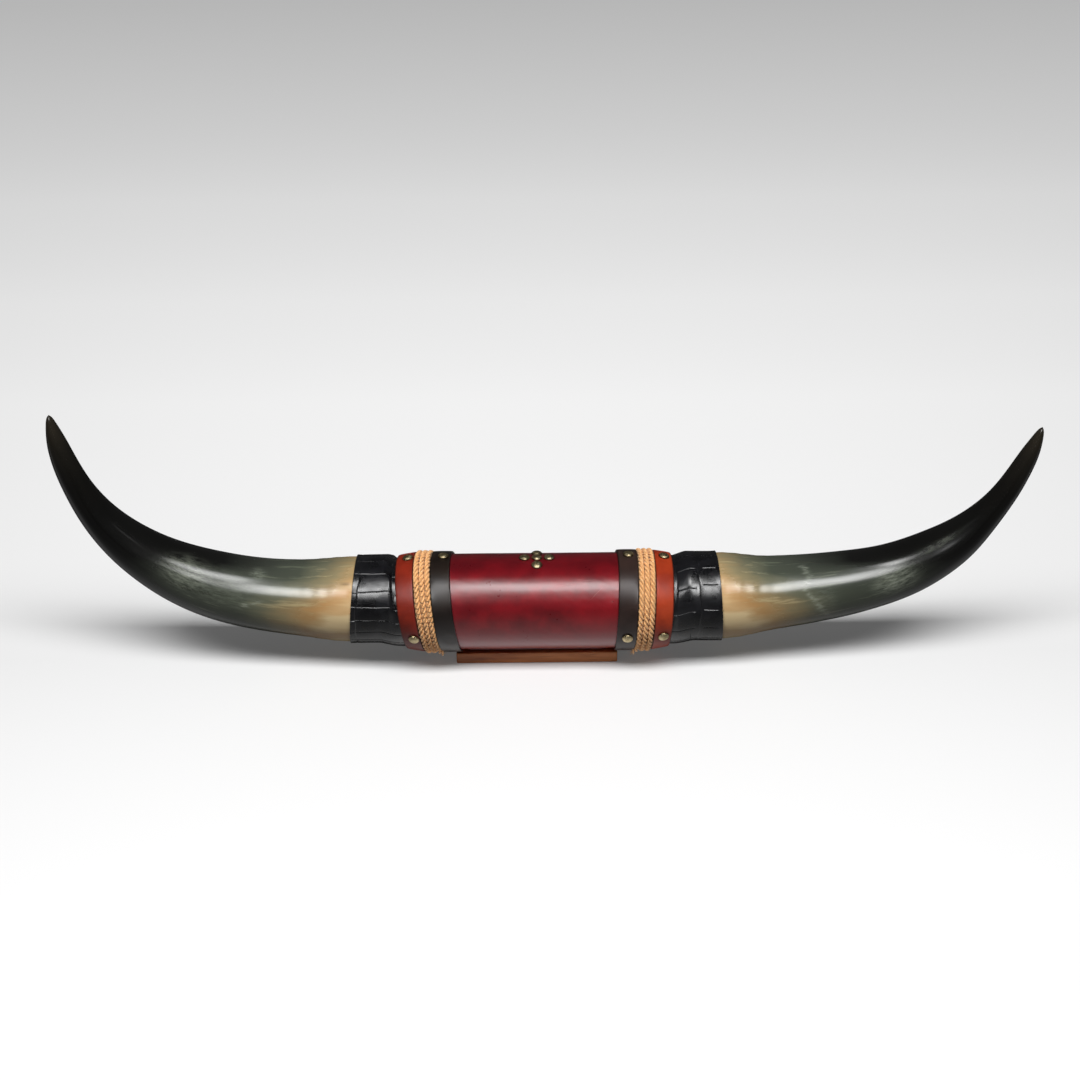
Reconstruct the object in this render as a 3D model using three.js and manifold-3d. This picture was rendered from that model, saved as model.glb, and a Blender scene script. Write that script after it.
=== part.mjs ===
// Mounted bull horns: two polished horns set end to end on a leather-wrapped wooden drum,
// which is screwed to a small board. Millimetres. +X runs along the span, +Z is up and the
// front is -Y. The origin is the middle of the board's underside.

import * as THREE from 'three';
import { mergeVertices } from 'three/addons/utils/BufferGeometryUtils.js';
import Module from 'manifold-3d';

const wasm = await Module();
wasm.setup();

// Driving dimensions. An "along" value is a distance out from the middle of the span,
// and a radius is measured from the drum's axis or from the horn's centreline.

const GAP = 0.3;
const ROUND_SIDES = 22;

const BOARD = { length: 165, depth: 34, height: 12, easing: 1.2 };
const AXIS_HEIGHT = 63.7;

const CORE_RADIUS = 46.3;
const CONE = { start: 117, end: 135, radius: 43.3 };
const NECK = { end: 146, radius: 42.3, shoulder: 37 };
const HORN_BASE = 154;
const PLUG = { baseRadius: 26, endRadius: 21, length: 42 };

const WRAP = { end: 99.4, thickness: 2 };
const LAP = { halfAngle: 17, thickness: 2.5, halfLength: 72 };

const DARK_STRAP = { start: 80, end: 99.7, thickness: 2.5 };
const ROPE = { start: 100, pitch: 5.45, rows: 3, diameter: 5.3, lift: 0.75, crossover: 27 };
const TAN_STRAP = { start: 116.7, end: 134.8, thickness: 2.7 };
const STRAP_BUTT_GAP = 1;
const CUTTER_OVERRUN = 4;
const CUFF = { start: 118, end: 185, thickness: 1.3, rise: 3 };

const TACK = { headRadius: 5.55, domeHeight: 3.2, shankRadius: 0.9, shankLength: 13, point: 2 };
const TACK_ANGLES = { top: 90, front: -20, back: 200 };
const CROSS = { offset: 0.8, spacing: 12.4, angle: 15 };

const SCREW = { headRadius: 4.2, rim: 0.6, headDepth: 2.6, shankRadius: 2.1, length: 34, point: 3 };
const SCREW_PLACE = { along: 50, inset: 0.4 };

// Each horn's centreline climbs from its base to its tip: its heading above level, in
// degrees, and its radius are given at fractions of its length. The straps and the cuff
// lean a little, because they were wrapped by hand: "lean" moves the top outwards and
// "sweep" moves the front outwards, per millimetre from the axis.

const HEADING_AT = [0, 0.2, 0.4, 0.6, 0.8, 1];
const RADIUS_AT = [0, 0.08, 0.2, 0.4, 0.6, 0.8, 0.92, 0.976, 0.994, 1];

const SIDES = [
  {
    name: 'left',
    sign: -1,
    lean: 0.115,
    sweep: 0.03,
    cuffLean: -0.089,
    lift: 4.3,
    hornLength: 420.8,
    headings: [-0.8, 4.2, 17.6, 38.8, 66, 85.5],
    radii: [43.2, 43.2, 38.9, 34.6, 25.4, 14.7, 10.2, 5.2, 2.4, 0],
    tackShift: -2.8,
    lostTack: 'front',
  },
  {
    name: 'right',
    sign: 1,
    lean: 0.04,
    sweep: 0.01,
    cuffLean: -0.052,
    lift: 4.2,
    hornLength: 420.6,
    headings: [-1.8, 5.1, 11.7, 32.4, 57.8, 75.5],
    radii: [43.8, 43.8, 37.9, 32.3, 25.5, 13.1, 9.4, 4.9, 2.2, 0],
    tackShift: 0.8,
    lostTack: null,
  },
];

const MATERIALS = {
  horn: { color: 0x4a4c42, roughness: 0.22, metalness: 0 },
  wood: { color: 0x6b3a22, roughness: 0.5, metalness: 0 },
  wrap: { color: 0x5e1020, roughness: 0.4, metalness: 0 },
  darkLeather: { color: 0x1f1714, roughness: 0.6, metalness: 0 },
  tanLeather: { color: 0x8a3a1c, roughness: 0.45, metalness: 0 },
  embossedLeather: { color: 0x0d0d10, roughness: 0.3, metalness: 0 },
  rope: { color: 0xc08a52, roughness: 0.9, metalness: 0 },
  brass: { color: 0xa08a50, roughness: 0.35, metalness: 1 },
  steel: { color: 0x9a9a98, roughness: 0.4, metalness: 1 },
};

// Curves

const radians = THREE.MathUtils.degToRad;

// A curve through (station, value) pairs that stays smooth and never overshoots them.
function smoothCurve(stations, values) {
  const last = stations.length - 1;
  const widths = [];
  const slopes = [];
  for (let i = 0; i < last; i += 1) {
    widths.push(stations[i + 1] - stations[i]);
    slopes.push((values[i + 1] - values[i]) / widths[i]);
  }
  const endTangent = (near, next) => {
    const total = widths[near] + widths[next];
    const tangent = ((widths[near] + total) * slopes[near] - widths[near] * slopes[next]) / total;
    if (tangent * slopes[near] <= 0) return 0;
    const turns = slopes[near] * slopes[next] < 0;
    return turns && Math.abs(tangent) > 3 * Math.abs(slopes[near]) ? 3 * slopes[near] : tangent;
  };
  const tangents = stations.map((_, i) => {
    if (i === 0) return endTangent(0, 1);
    if (i === last) return endTangent(last - 1, last - 2);
    if (slopes[i - 1] * slopes[i] <= 0) return 0;
    const before = 2 * widths[i] + widths[i - 1];
    const after = widths[i] + 2 * widths[i - 1];
    return (before + after) / (before / slopes[i - 1] + after / slopes[i]);
  });
  return (at) => {
    let i = 0;
    while (i < last - 1 && at > stations[i + 1]) i += 1;
    const t = THREE.MathUtils.clamp((at - stations[i]) / widths[i], 0, 1);
    const fromStart = (1 + 2 * t) * (1 - t) ** 2 * values[i] + t * (1 - t) ** 2 * widths[i] * tangents[i];
    const fromEnd =
      (3 - 2 * t) * t ** 2 * values[i + 1] - (1 - t) * t ** 2 * widths[i] * tangents[i + 1];
    return fromStart + fromEnd;
  };
}

// The horn's centreline from its base, as a function of the distance along it.
function centreline(side) {
  const steps = 240;
  const heading = smoothCurve(HEADING_AT, side.headings);
  const step = side.hornLength / steps;
  const points = [{ x: HORN_BASE, z: side.lift }];
  for (let i = 0; i < steps; i += 1) {
    const angle = radians(heading((i + 0.5) / steps));
    const from = points[i];
    points.push({ x: from.x + step * Math.cos(angle), z: from.z + step * Math.sin(angle) });
  }
  return (distance) => {
    const i = Math.min(Math.floor(distance / step), steps - 1);
    const t = distance / step - i;
    return {
      x: THREE.MathUtils.lerp(points[i].x, points[i + 1].x, t),
      z: THREE.MathUtils.lerp(points[i].z, points[i + 1].z, t),
      angle: radians(heading(distance / side.hornLength)),
    };
  };
}

for (const side of SIDES) {
  side.centre = centreline(side);
  side.hornRadius = smoothCurve(RADIUS_AT, side.radii);
  side.leanAt = smoothCurve(
    [0, 60, DARK_STRAP.start, TAN_STRAP.end, NECK.end, CUFF.end],
    [0, 0, side.lean, side.lean, 0, side.cuffLean],
  );
  side.sweepAt = smoothCurve(
    [0, 60, DARK_STRAP.start, TAN_STRAP.end, NECK.end, CUFF.end],
    [0, 0, side.sweep, side.sweep, 0, 0],
  );
}

const sideOf = (along) => SIDES[along < 0 ? 0 : 1];

// Turns (along, across, up), measured about the centreline, into a point of the object.
function place(side, along, across, up) {
  const point = new THREE.Vector3(along, across, up);
  if (along > HORN_BASE) {
    const { x, z, angle } = side.centre(along - HORN_BASE);
    point.x = x - up * Math.sin(angle);
    point.z = z + up * Math.cos(angle);
  } else {
    point.z += side.lift * THREE.MathUtils.smoothstep(along, NECK.end, HORN_BASE);
  }
  point.x *= side.sign;
  point.z += AXIS_HEIGHT;
  return point;
}

// The same, for the layers wrapped round the drum, which lean.
function placeLeaning(side, along, across, up) {
  const point = place(side, along, across, up);
  point.x += side.sign * (side.leanAt(along) * up - side.sweepAt(along) * across);
  return point;
}

// Closed meshes

// Merges shared vertices, drops collapsed triangles and turns every face outwards.
function closed(geometry) {
  for (const name of ['normal', 'uv']) geometry.deleteAttribute(name);
  const merged = mergeVertices(geometry, 1e-3);
  const index = merged.index.array;
  const at = (i) => new THREE.Vector3().fromBufferAttribute(merged.attributes.position, i);
  const kept = [];
  let volume = 0;
  for (let i = 0; i < index.length; i += 3) {
    const [a, b, c] = [index[i], index[i + 1], index[i + 2]];
    if (a === b || b === c || c === a) continue;
    kept.push(a, b, c);
    volume += at(a).dot(at(b).cross(at(c)));
  }
  merged.setIndex(volume > 0 ? kept : kept.reverse());
  return merged;
}

// A profile of [along, radius] points turned round the centreline and put in place.
function turned(profile, placing, sides = ROUND_SIDES) {
  const points = profile.map(([along, radius]) => new THREE.Vector2(radius, along));
  const geometry = new THREE.LatheGeometry(points, sides);
  const position = geometry.attributes.position;
  for (let i = 0; i < position.count; i += 1) {
    const point = placing(position.getY(i), position.getX(i), position.getZ(i));
    position.setXYZ(i, point.x, point.y, point.z);
  }
  return closed(geometry);
}

// A ring: its outer outline, and an inner one that is "thickness" closer to the axis.
function ring(stations, outerRadius, thickness, placing) {
  const outer = stations.map((along) => [along, outerRadius(along)]);
  const inner = stations.toReversed().map((along) => [along, outerRadius(along) - thickness]);
  return turned([...outer, ...inner, outer[0]], placing);
}

function toSolid(geometry) {
  return new wasm.Manifold(
    new wasm.Mesh({
      numProp: 3,
      vertProperties: new Float32Array(geometry.attributes.position.array),
      triVerts: new Uint32Array(geometry.index.array),
    }),
  );
}

function toGeometry(solid) {
  const { vertProperties, triVerts } = solid.getMesh();
  const geometry = new THREE.BufferGeometry();
  geometry.setAttribute('position', new THREE.BufferAttribute(vertProperties, 3));
  geometry.setIndex(new THREE.BufferAttribute(triVerts, 1));
  return geometry;
}

function cut(geometry, cutters) {
  const tool = cutters.map(toSolid).reduce((whole, next) => whole.add(next));
  return toGeometry(toSolid(geometry).subtract(tool));
}

function named(name, geometry, look) {
  geometry.computeVertexNormals();
  const mesh = new THREE.Mesh(geometry, new THREE.MeshStandardMaterial({ ...look, flatShading: true }));
  mesh.name = name;
  return mesh;
}

// Radii of the layers, from the wood outwards

const coreRadius = (along) => {
  const cone = THREE.MathUtils.clamp((along - CONE.start) / (CONE.end - CONE.start), 0, 1);
  return THREE.MathUtils.lerp(CORE_RADIUS, CONE.radius, cone);
};
const wrapRadius = () => CORE_RADIUS + GAP + WRAP.thickness;
const darkStrapRadius = () => wrapRadius() + GAP + DARK_STRAP.thickness;
const cuffOverCone = (along) => coreRadius(along) + GAP + CUFF.thickness;
const tanStrapRadius = (along) => cuffOverCone(along) + GAP + TAN_STRAP.thickness;

// Tacks

const tackHoles = [];
const tacks = [];

// A tack's matrix: it stands square on the surface of a layer, at an angle round the axis.
function tackMatrix(side, along, degrees, surfaceRadius) {
  const surface = (out, turn) => {
    const angle = radians(turn);
    const radius = surfaceRadius(out);
    return placeLeaning(side, out, -radius * Math.cos(angle), radius * Math.sin(angle));
  };
  const alongStep = surface(along + 1, degrees).sub(surface(along - 1, degrees));
  const roundStep = surface(along, degrees + 1).sub(surface(along, degrees - 1));
  const outwards = alongStep.cross(roundStep).multiplyScalar(side.sign).normalize();
  const turn = new THREE.Quaternion().setFromUnitVectors(new THREE.Vector3(0, 1, 0), outwards);
  const origin = surface(along, degrees).addScaledVector(outwards, GAP);
  return new THREE.Matrix4().compose(origin, turn, new THREE.Vector3(1, 1, 1));
}

function tackGeometry() {
  const { headRadius, domeHeight, shankRadius, shankLength, point } = TACK;
  const profile = [
    [domeHeight, 0],
    [domeHeight * 0.66, headRadius * 0.72],
    [0, headRadius],
    [0, shankRadius],
    [-shankLength, shankRadius],
    [-shankLength - point, 0],
  ];
  const points = profile.map(([height, radius]) => new THREE.Vector2(radius, height));
  return closed(new THREE.LatheGeometry(points, 10));
}

function addTack(name, side, along, degrees, surfaceRadius, isLost = false) {
  const matrix = tackMatrix(side, along, degrees, surfaceRadius);
  const depth = TACK.shankLength + TACK.point + GAP;
  const radius = TACK.shankRadius + GAP;
  const hole = new THREE.CylinderGeometry(radius, radius, depth + CUTTER_OVERRUN, 6);
  hole.translate(0, (CUTTER_OVERRUN - depth) / 2, 0);
  tackHoles.push(closed(hole.applyMatrix4(matrix)));
  if (isLost) return;
  const tack = named(name, tackGeometry(), MATERIALS.brass);
  tack.applyMatrix4(matrix);
  tacks.push(tack);
}

for (const side of SIDES) {
  for (const [strapName, strap, radius] of [
    ['dark', DARK_STRAP, darkStrapRadius],
    ['tan', TAN_STRAP, tanStrapRadius],
  ]) {
    const along = (strap.start + strap.end) / 2 + side.tackShift;
    for (const [spot, degrees] of Object.entries(TACK_ANGLES)) {
      const isLost = strapName === 'dark' && spot === side.lostTack;
      addTack(`${side.name}_${strapName}_strap_tack_${spot}`, side, along, degrees, radius, isLost);
    }
  }
}
for (const [spot, steps, turns] of [
  ['middle', 0, 0],
  ['left', -1, 0],
  ['right', 1, 0],
  ['front', 0, -1],
  ['back', 0, 1],
]) {
  const along = CROSS.offset + steps * CROSS.spacing;
  const degrees = 90 + turns * CROSS.angle;
  addTack(`cross_tack_${spot}`, sideOf(along), Math.abs(along), degrees, wrapRadius);
}

// Board screws, driven up through the board and the wrap into the core

// Made with a clearance and a bottom below its head, it is the cutter for its own hole.
function screwGeometry(clearance, bottom) {
  const { headRadius, rim, headDepth, shankRadius, length, point } = SCREW;
  const points = [
    [0, bottom],
    [headRadius + clearance, bottom],
    [headRadius + clearance, rim],
    [shankRadius + clearance, rim + headDepth],
    [shankRadius + clearance, length],
    [0, length + point + clearance],
  ];
  return closed(new THREE.LatheGeometry(points.map(([r, h]) => new THREE.Vector2(r, h)), 12));
}

const screws = [];
const screwHoles = [];
for (const side of SIDES) {
  const screw = named(`${side.name}_board_screw`, screwGeometry(0, 0), MATERIALS.steel);
  screw.rotation.x = Math.PI / 2;
  screw.position.set(side.sign * SCREW_PLACE.along, 0, SCREW_PLACE.inset);
  screw.updateMatrix();
  screws.push(screw);
  screwHoles.push(closed(screwGeometry(GAP, -CUTTER_OVERRUN).applyMatrix4(screw.matrix)));
}

// Pieces

function horn(side) {
  const rings = 21;
  const rounding = 3;
  const profile = [
    [PLUG.length + GAP, 0],
    [PLUG.length + GAP, PLUG.endRadius + GAP],
    [0, PLUG.baseRadius + GAP],
    [0, side.hornRadius(0) - rounding],
  ];
  for (let i = 0; i <= rings; i += 1) {
    const distance = Math.max(rounding, side.hornLength * (1 - (1 - i / rings) ** 1.4));
    profile.push([distance, side.hornRadius(distance / side.hornLength)]);
  }
  const onHorn = (distance, across, up) => place(side, HORN_BASE + distance, across, up);
  return named(`${side.name}_horn`, turned(profile, onHorn), MATERIALS.horn);
}

function cuff(side) {
  const onHorn = side.radii[0] + GAP + CUFF.thickness;
  const onNeck = NECK.radius + GAP + CUFF.thickness;
  const outer = smoothCurve(
    [CUFF.start, CONE.end, NECK.end, HORN_BASE, CUFF.end],
    [cuffOverCone(CUFF.start), cuffOverCone(CONE.end), onNeck, onHorn, onHorn],
  );
  const stations = [CUFF.start, CONE.end, NECK.end, HORN_BASE - CUFF.rise, HORN_BASE + 1, CUFF.end];
  const placing = (along, across, up) => placeLeaning(side, along, across, up);
  const geometry = ring(stations, outer, CUFF.thickness, placing);
  return named(`${side.name}_cuff`, cut(geometry, tackHoles), MATERIALS.embossedLeather);
}

function strap(name, side, { start, end, thickness }, outerRadius, look) {
  const placing = (along, across, up) => placeLeaning(side, along, across, up);
  const geometry = ring([start, end], outerRadius, thickness, placing);
  const butt = new THREE.BoxGeometry(3 * (end - start), STRAP_BUTT_GAP, 8 * thickness);
  butt.translate(side.sign * (start + end) / 2, 0, AXIS_HEIGHT - outerRadius(start));
  return named(name, cut(geometry, [closed(butt), ...tackHoles]), look);
}

// The rope's rows lie side by side, and step to the next row underneath the drum.
class RopePath extends THREE.Curve {
  constructor(side) {
    super();
    this.side = side;
  }

  getPoint(t, target = new THREE.Vector3()) {
    const { start, pitch, rows, diameter, crossover } = ROPE;
    const degrees = THREE.MathUtils.lerp(crossover, rows * 360 - crossover, t);
    const row = Math.floor(degrees / 360 + 0.5);
    const intoCrossover = degrees - row * 360;
    const step = THREE.MathUtils.smoothstep(intoCrossover, -crossover, crossover);
    const along = start + pitch * (0.5 + row - 1 + step);
    const radius = CORE_RADIUS + ROPE.lift + diameter / 2;
    const angle = radians(degrees);
    const across = -radius * Math.sin(angle);
    return target.copy(placeLeaning(this.side, along, across, -radius * Math.cos(angle)));
  }
}

function rope(side) {
  const sides = 6;
  const stepsPerTurn = 20;
  const corners = [];
  for (let i = 0; i < sides; i += 1) {
    const angle = (i * 2 * Math.PI) / sides;
    corners.push(new THREE.Vector2(Math.cos(angle), Math.sin(angle)).multiplyScalar(ROPE.diameter / 2));
  }
  const geometry = new THREE.ExtrudeGeometry(new THREE.Shape(corners), {
    steps: stepsPerTurn * ROPE.rows,
    extrudePath: new RopePath(side),
  });
  return named(`${side.name}_rope`, closed(geometry), MATERIALS.rope);
}

function core() {
  const half = [
    [0, CORE_RADIUS],
    [CONE.start, CORE_RADIUS],
    [CONE.end, CONE.radius],
    [NECK.end, NECK.radius],
    [HORN_BASE - 2, NECK.shoulder],
    [HORN_BASE - GAP, PLUG.baseRadius],
    [HORN_BASE + PLUG.length, PLUG.endRadius],
    [HORN_BASE + PLUG.length, 0],
  ];
  const mirrored = half.slice(1).toReversed().map(([along, radius]) => [-along, radius]);
  const placing = (along, across, up) => {
    const side = sideOf(along);
    const isPlug = Math.abs(along) >= NECK.end;
    return (isPlug ? place : placeLeaning)(side, Math.abs(along), across, up);
  };
  const geometry = turned([...mirrored, ...half], placing);
  return named('wood_core', cut(geometry, [...tackHoles, ...screwHoles]), MATERIALS.wood);
}

// The wrap goes once round the drum, and its end laps over itself along the underside.
function wrap() {
  const placing = (along, across, up) => placeLeaning(sideOf(along), Math.abs(along), across, up);
  const sleeve = ring([-WRAP.end, WRAP.end], wrapRadius, WRAP.thickness, placing);
  const inner = wrapRadius() - WRAP.thickness / 2;
  const outer = wrapRadius() + LAP.thickness;
  const halfAngle = radians(LAP.halfAngle);
  const section = new THREE.Shape();
  section.absarc(0, 0, outer, -Math.PI / 2 - halfAngle, -Math.PI / 2 + halfAngle);
  section.absarc(0, 0, inner, -Math.PI / 2 + halfAngle, -Math.PI / 2 - halfAngle, true);
  const length = 2 * LAP.halfLength;
  const lap = new THREE.ExtrudeGeometry(section, { depth: length, bevelEnabled: false, curveSegments: 5 });
  lap.rotateX(Math.PI / 2);
  lap.rotateZ(Math.PI / 2);
  lap.translate(-length / 2, 0, AXIS_HEIGHT);
  const whole = toGeometry(toSolid(sleeve).add(toSolid(closed(lap))));
  return named('center_leather', cut(whole, [...tackHoles, ...screwHoles]), MATERIALS.wrap);
}

function board() {
  const { length, depth, height, easing } = BOARD;
  const halfDepth = depth / 2 - easing;
  const halfHeight = height / 2 - easing;
  const section = new THREE.Shape();
  section.moveTo(-halfDepth + easing, -halfHeight);
  section.lineTo(halfDepth - easing, -halfHeight);
  section.lineTo(halfDepth, -halfHeight + easing);
  section.lineTo(halfDepth, halfHeight - easing);
  section.lineTo(halfDepth - easing, halfHeight);
  section.lineTo(-halfDepth + easing, halfHeight);
  section.lineTo(-halfDepth, halfHeight - easing);
  section.lineTo(-halfDepth, -halfHeight + easing);
  const geometry = new THREE.ExtrudeGeometry(section, {
    depth: length - 2 * easing,
    bevelSize: easing,
    bevelThickness: easing,
    bevelSegments: 1,
  });
  geometry.translate(0, 0, easing - length / 2);
  geometry.rotateX(Math.PI / 2);
  geometry.rotateZ(Math.PI / 2);
  geometry.translate(0, 0, height / 2);
  return named('mounting_board', cut(closed(geometry), screwHoles), MATERIALS.wood);
}

const mountedHorns = new THREE.Group();
mountedHorns.add(core(), wrap(), board(), ...screws, ...tacks);
for (const side of SIDES) {
  mountedHorns.add(
    horn(side),
    cuff(side),
    strap(`${side.name}_dark_strap`, side, DARK_STRAP, darkStrapRadius, MATERIALS.darkLeather),
    strap(`${side.name}_tan_strap`, side, TAN_STRAP, tanStrapRadius, MATERIALS.tanLeather),
    rope(side),
  );
}

export default mountedHorns;
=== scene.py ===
"""The looks of a pair of mounted bull horns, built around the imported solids.

Shapes are worked out in millimetres, in the part's own frame, and turned into metres when
a mesh is made. An "along" value is a distance out from the middle of the span, and an angle
round the drum is 0 at the front, 90 on top and 180 at the back.
"""

import math
from dataclasses import dataclass

import bpy
import numpy as np
from mathutils import Matrix, Vector

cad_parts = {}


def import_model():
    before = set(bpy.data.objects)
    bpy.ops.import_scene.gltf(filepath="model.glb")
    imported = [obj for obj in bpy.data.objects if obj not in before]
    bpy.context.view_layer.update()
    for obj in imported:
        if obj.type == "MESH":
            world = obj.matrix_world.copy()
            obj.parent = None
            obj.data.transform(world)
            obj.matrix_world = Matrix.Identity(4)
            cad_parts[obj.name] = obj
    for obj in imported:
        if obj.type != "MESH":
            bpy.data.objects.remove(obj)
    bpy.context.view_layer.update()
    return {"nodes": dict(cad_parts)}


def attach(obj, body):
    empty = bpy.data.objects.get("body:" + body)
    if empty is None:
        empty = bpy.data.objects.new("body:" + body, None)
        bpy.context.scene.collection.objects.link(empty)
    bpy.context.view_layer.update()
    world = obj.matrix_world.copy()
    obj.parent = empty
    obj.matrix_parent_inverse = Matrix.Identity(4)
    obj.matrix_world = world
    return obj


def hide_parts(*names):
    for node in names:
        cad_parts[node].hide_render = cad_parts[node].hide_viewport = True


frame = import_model()

MM = 0.001
SEED = 7

# Camera: where the photograph was taken from

PICTURE_PX = 1080
FOCAL_PX = 1500
DRUM_CENTRE_PX = (535.8, 600.4)
CAMERA_DISTANCE = 1.530
CAMERA_ELEVATION = math.radians(28.5)
CAMERA_ROLL = math.radians(0.55)
SENSOR_WIDTH = 36

# Sizes shared with the solids

AXIS_HEIGHT = 63.7
CORE_RADIUS = 46.3
CONE_START, CONE_END, CONE_RADIUS = 117, 135, 43.3
NECK_END = 146
HORN_BASE = 154
PLUG_BASE, PLUG_END, PLUG_LENGTH = 26, 21, 42
GAP = 0.3

WRAP_END, WRAP_THICKNESS = 99.4, 2.0
LAP_HALF_ANGLE, LAP_HALF_LENGTH = 17, 72
DARK_STRAP = {"start": 80, "end": 99.7, "thickness": 2.5}
TAN_STRAP = {"start": 116.7, "end": 134.8, "thickness": 2.7}
ROPE_START, ROPE_PITCH, ROPE_ROWS, ROPE_DIAMETER = 100, 5.45, 3, 5.3
ROPE_LIFT, ROPE_CROSSOVER = 0.75, 27
CUFF_START, CUFF_END, CUFF_THICKNESS = 118, 185, 1.3

TACK_HEAD, TACK_DOME, TACK_SHANK = 5.55, 3.2, 0.9
TACK_ANGLES = {"top": 90, "front": -20, "back": 200}
CROSS_OFFSET, CROSS_SPACING, CROSS_ANGLE = 0.8, 12.4, 15

BOARD = (165, 34, 12)
SCREW_ALONG, SCREW_HEAD, SCREW_SHANK, SCREW_INSET = 50, 4.2, 2.1, 0.4

HEADING_AT = [0, 0.2, 0.4, 0.6, 0.8, 1]
RADIUS_AT = [0, 0.08, 0.2, 0.4, 0.6, 0.8, 0.92, 0.976, 0.994, 1]
LEAN_AT = [0, 60, DARK_STRAP["start"], TAN_STRAP["end"], NECK_END, CUFF_END]


def smooth_curve(stations, values):
    """A curve through (station, value) pairs that stays smooth and never overshoots them."""
    x, y = np.array(stations, float), np.array(values, float)
    widths = np.diff(x)
    slopes = np.diff(y) / widths

    def end_tangent(near, following):
        total = widths[near] + widths[following]
        tangent = (widths[near] + total) * slopes[near] - widths[near] * slopes[following]
        tangent /= total
        if tangent * slopes[near] <= 0:
            return 0.0
        turns = slopes[near] * slopes[following] < 0
        too_steep = turns and abs(tangent) > 3 * abs(slopes[near])
        return 3 * slopes[near] if too_steep else tangent

    tangents = np.zeros(len(x))
    for i in range(1, len(x) - 1):
        if slopes[i - 1] * slopes[i] > 0:
            before = 2 * widths[i] + widths[i - 1]
            after = widths[i] + 2 * widths[i - 1]
            tangents[i] = (before + after) / (before / slopes[i - 1] + after / slopes[i])
    tangents[0] = end_tangent(0, 1)
    tangents[-1] = end_tangent(-1, -2)

    def at(where):
        where = np.clip(where, x[0], x[-1])
        i = np.clip(np.searchsorted(x, where, side="right") - 1, 0, len(widths) - 1)
        t = (where - x[i]) / widths[i]
        from_start = (1 + 2 * t) * y[i] + t * widths[i] * tangents[i]
        from_end = (3 - 2 * t) * y[i + 1] - (1 - t) * widths[i] * tangents[i + 1]
        return (1 - t) ** 2 * from_start + t**2 * from_end

    return at


def smooth_step(value, low, high):
    """0 up to low, rising smoothly to 1 at high."""
    t = np.clip((value - low) / (high - low), 0, 1)
    return t * t * (3 - 2 * t)


def fade_out(value, low, high):
    """1 up to low, falling smoothly to 0 at high."""
    return smooth_step(-value, -high, -low)


@dataclass
class Side:
    """One half of the object, with what the maker and the animal made different on each."""

    name: str
    sign: int
    lean: float
    sweep: float
    cuff_lean: float
    lift: float
    horn_length: float
    headings: list
    radii: list
    tack_shift: float
    cuff_rise: tuple
    cuff_dip: tuple
    front_rise: float

    def __post_init__(self):
        self.radius_at = smooth_curve(RADIUS_AT, self.radii)
        self.lean_at = smooth_curve(LEAN_AT, [0, 0, self.lean, self.lean, 0, self.cuff_lean])
        self.sweep_at = smooth_curve(LEAN_AT, [0, 0, self.sweep, self.sweep, 0, 0])
        heading = smooth_curve(HEADING_AT, self.headings)
        steps = 1200
        middles = (np.arange(steps) + 0.5) / steps
        angles = np.radians(heading(middles))
        step = self.horn_length / steps
        self.line_at = np.linspace(0, self.horn_length, steps + 1)
        self.line_x = HORN_BASE + np.concatenate([[0], np.cumsum(step * np.cos(angles))])
        self.line_z = self.lift + np.concatenate([[0], np.cumsum(step * np.sin(angles))])
        self.line_heading = np.radians(heading(self.line_at / self.horn_length))

    def horn_radius(self, distance):
        return self.radius_at(distance / self.horn_length)

    def place(self, along, across, up):
        """Points given about the centreline, as points of the object."""
        along, across, up = np.broadcast_arrays(along, across, up)
        distance = np.maximum(along - HORN_BASE, 0)
        heading = np.interp(distance, self.line_at, self.line_heading)
        on_horn = along > HORN_BASE
        bent_x = np.interp(distance, self.line_at, self.line_x) - up * np.sin(heading)
        bent_z = np.interp(distance, self.line_at, self.line_z) + up * np.cos(heading)
        straight_z = up + self.lift * smooth_step(along, NECK_END, HORN_BASE)
        x = np.where(on_horn, bent_x, along) * self.sign
        z = np.where(on_horn, bent_z, straight_z) + AXIS_HEIGHT
        return np.stack([x, across, z], -1)

    def place_leaning(self, along, across, up):
        """The same for the layers wrapped round the drum, which lean."""
        points = self.place(along, across, up)
        lean = self.lean_at(along) * up - self.sweep_at(along) * across
        points[..., 0] += self.sign * lean
        return points


LEFT = Side(
    name="left",
    sign=-1,
    lean=0.115,
    sweep=0.03,
    cuff_lean=-0.089,
    lift=4.3,
    horn_length=420.8,
    headings=[-0.8, 4.2, 17.6, 38.8, 66, 85.5],
    radii=[43.2, 43.2, 38.9, 34.6, 25.4, 14.7, 10.2, 5.2, 2.4, 0],
    tack_shift=-2.8,
    cuff_rise=(144.5, 154),
    cuff_dip=(141.5, 146.5),
    front_rise=8,
)
RIGHT = Side(
    name="right",
    sign=1,
    lean=0.04,
    sweep=0.01,
    cuff_lean=-0.052,
    lift=4.2,
    horn_length=420.6,
    headings=[-1.8, 5.1, 11.7, 32.4, 57.8, 75.5],
    radii=[43.8, 43.8, 37.9, 32.3, 25.5, 13.1, 9.4, 4.9, 2.2, 0],
    tack_shift=0.8,
    cuff_rise=(137, 154),
    cuff_dip=(136, 141),
    front_rise=0,
)
SIDES = (LEFT, RIGHT)


def on_round(radius, angle):
    """How far across and up a point lies, at an angle in radians round the drum."""
    return -radius * np.cos(angle), radius * np.sin(angle)


# Radii of the layers, from the wood outwards


def core_radius(along):
    cone = np.clip((np.abs(along) - CONE_START) / (CONE_END - CONE_START), 0, 1)
    return CORE_RADIUS + (CONE_RADIUS - CORE_RADIUS) * cone


def wrap_radius(along):
    return np.full_like(np.asarray(along, float), CORE_RADIUS + GAP + WRAP_THICKNESS)


def dark_strap_radius(along):
    return wrap_radius(along) + GAP + DARK_STRAP["thickness"]


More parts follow.
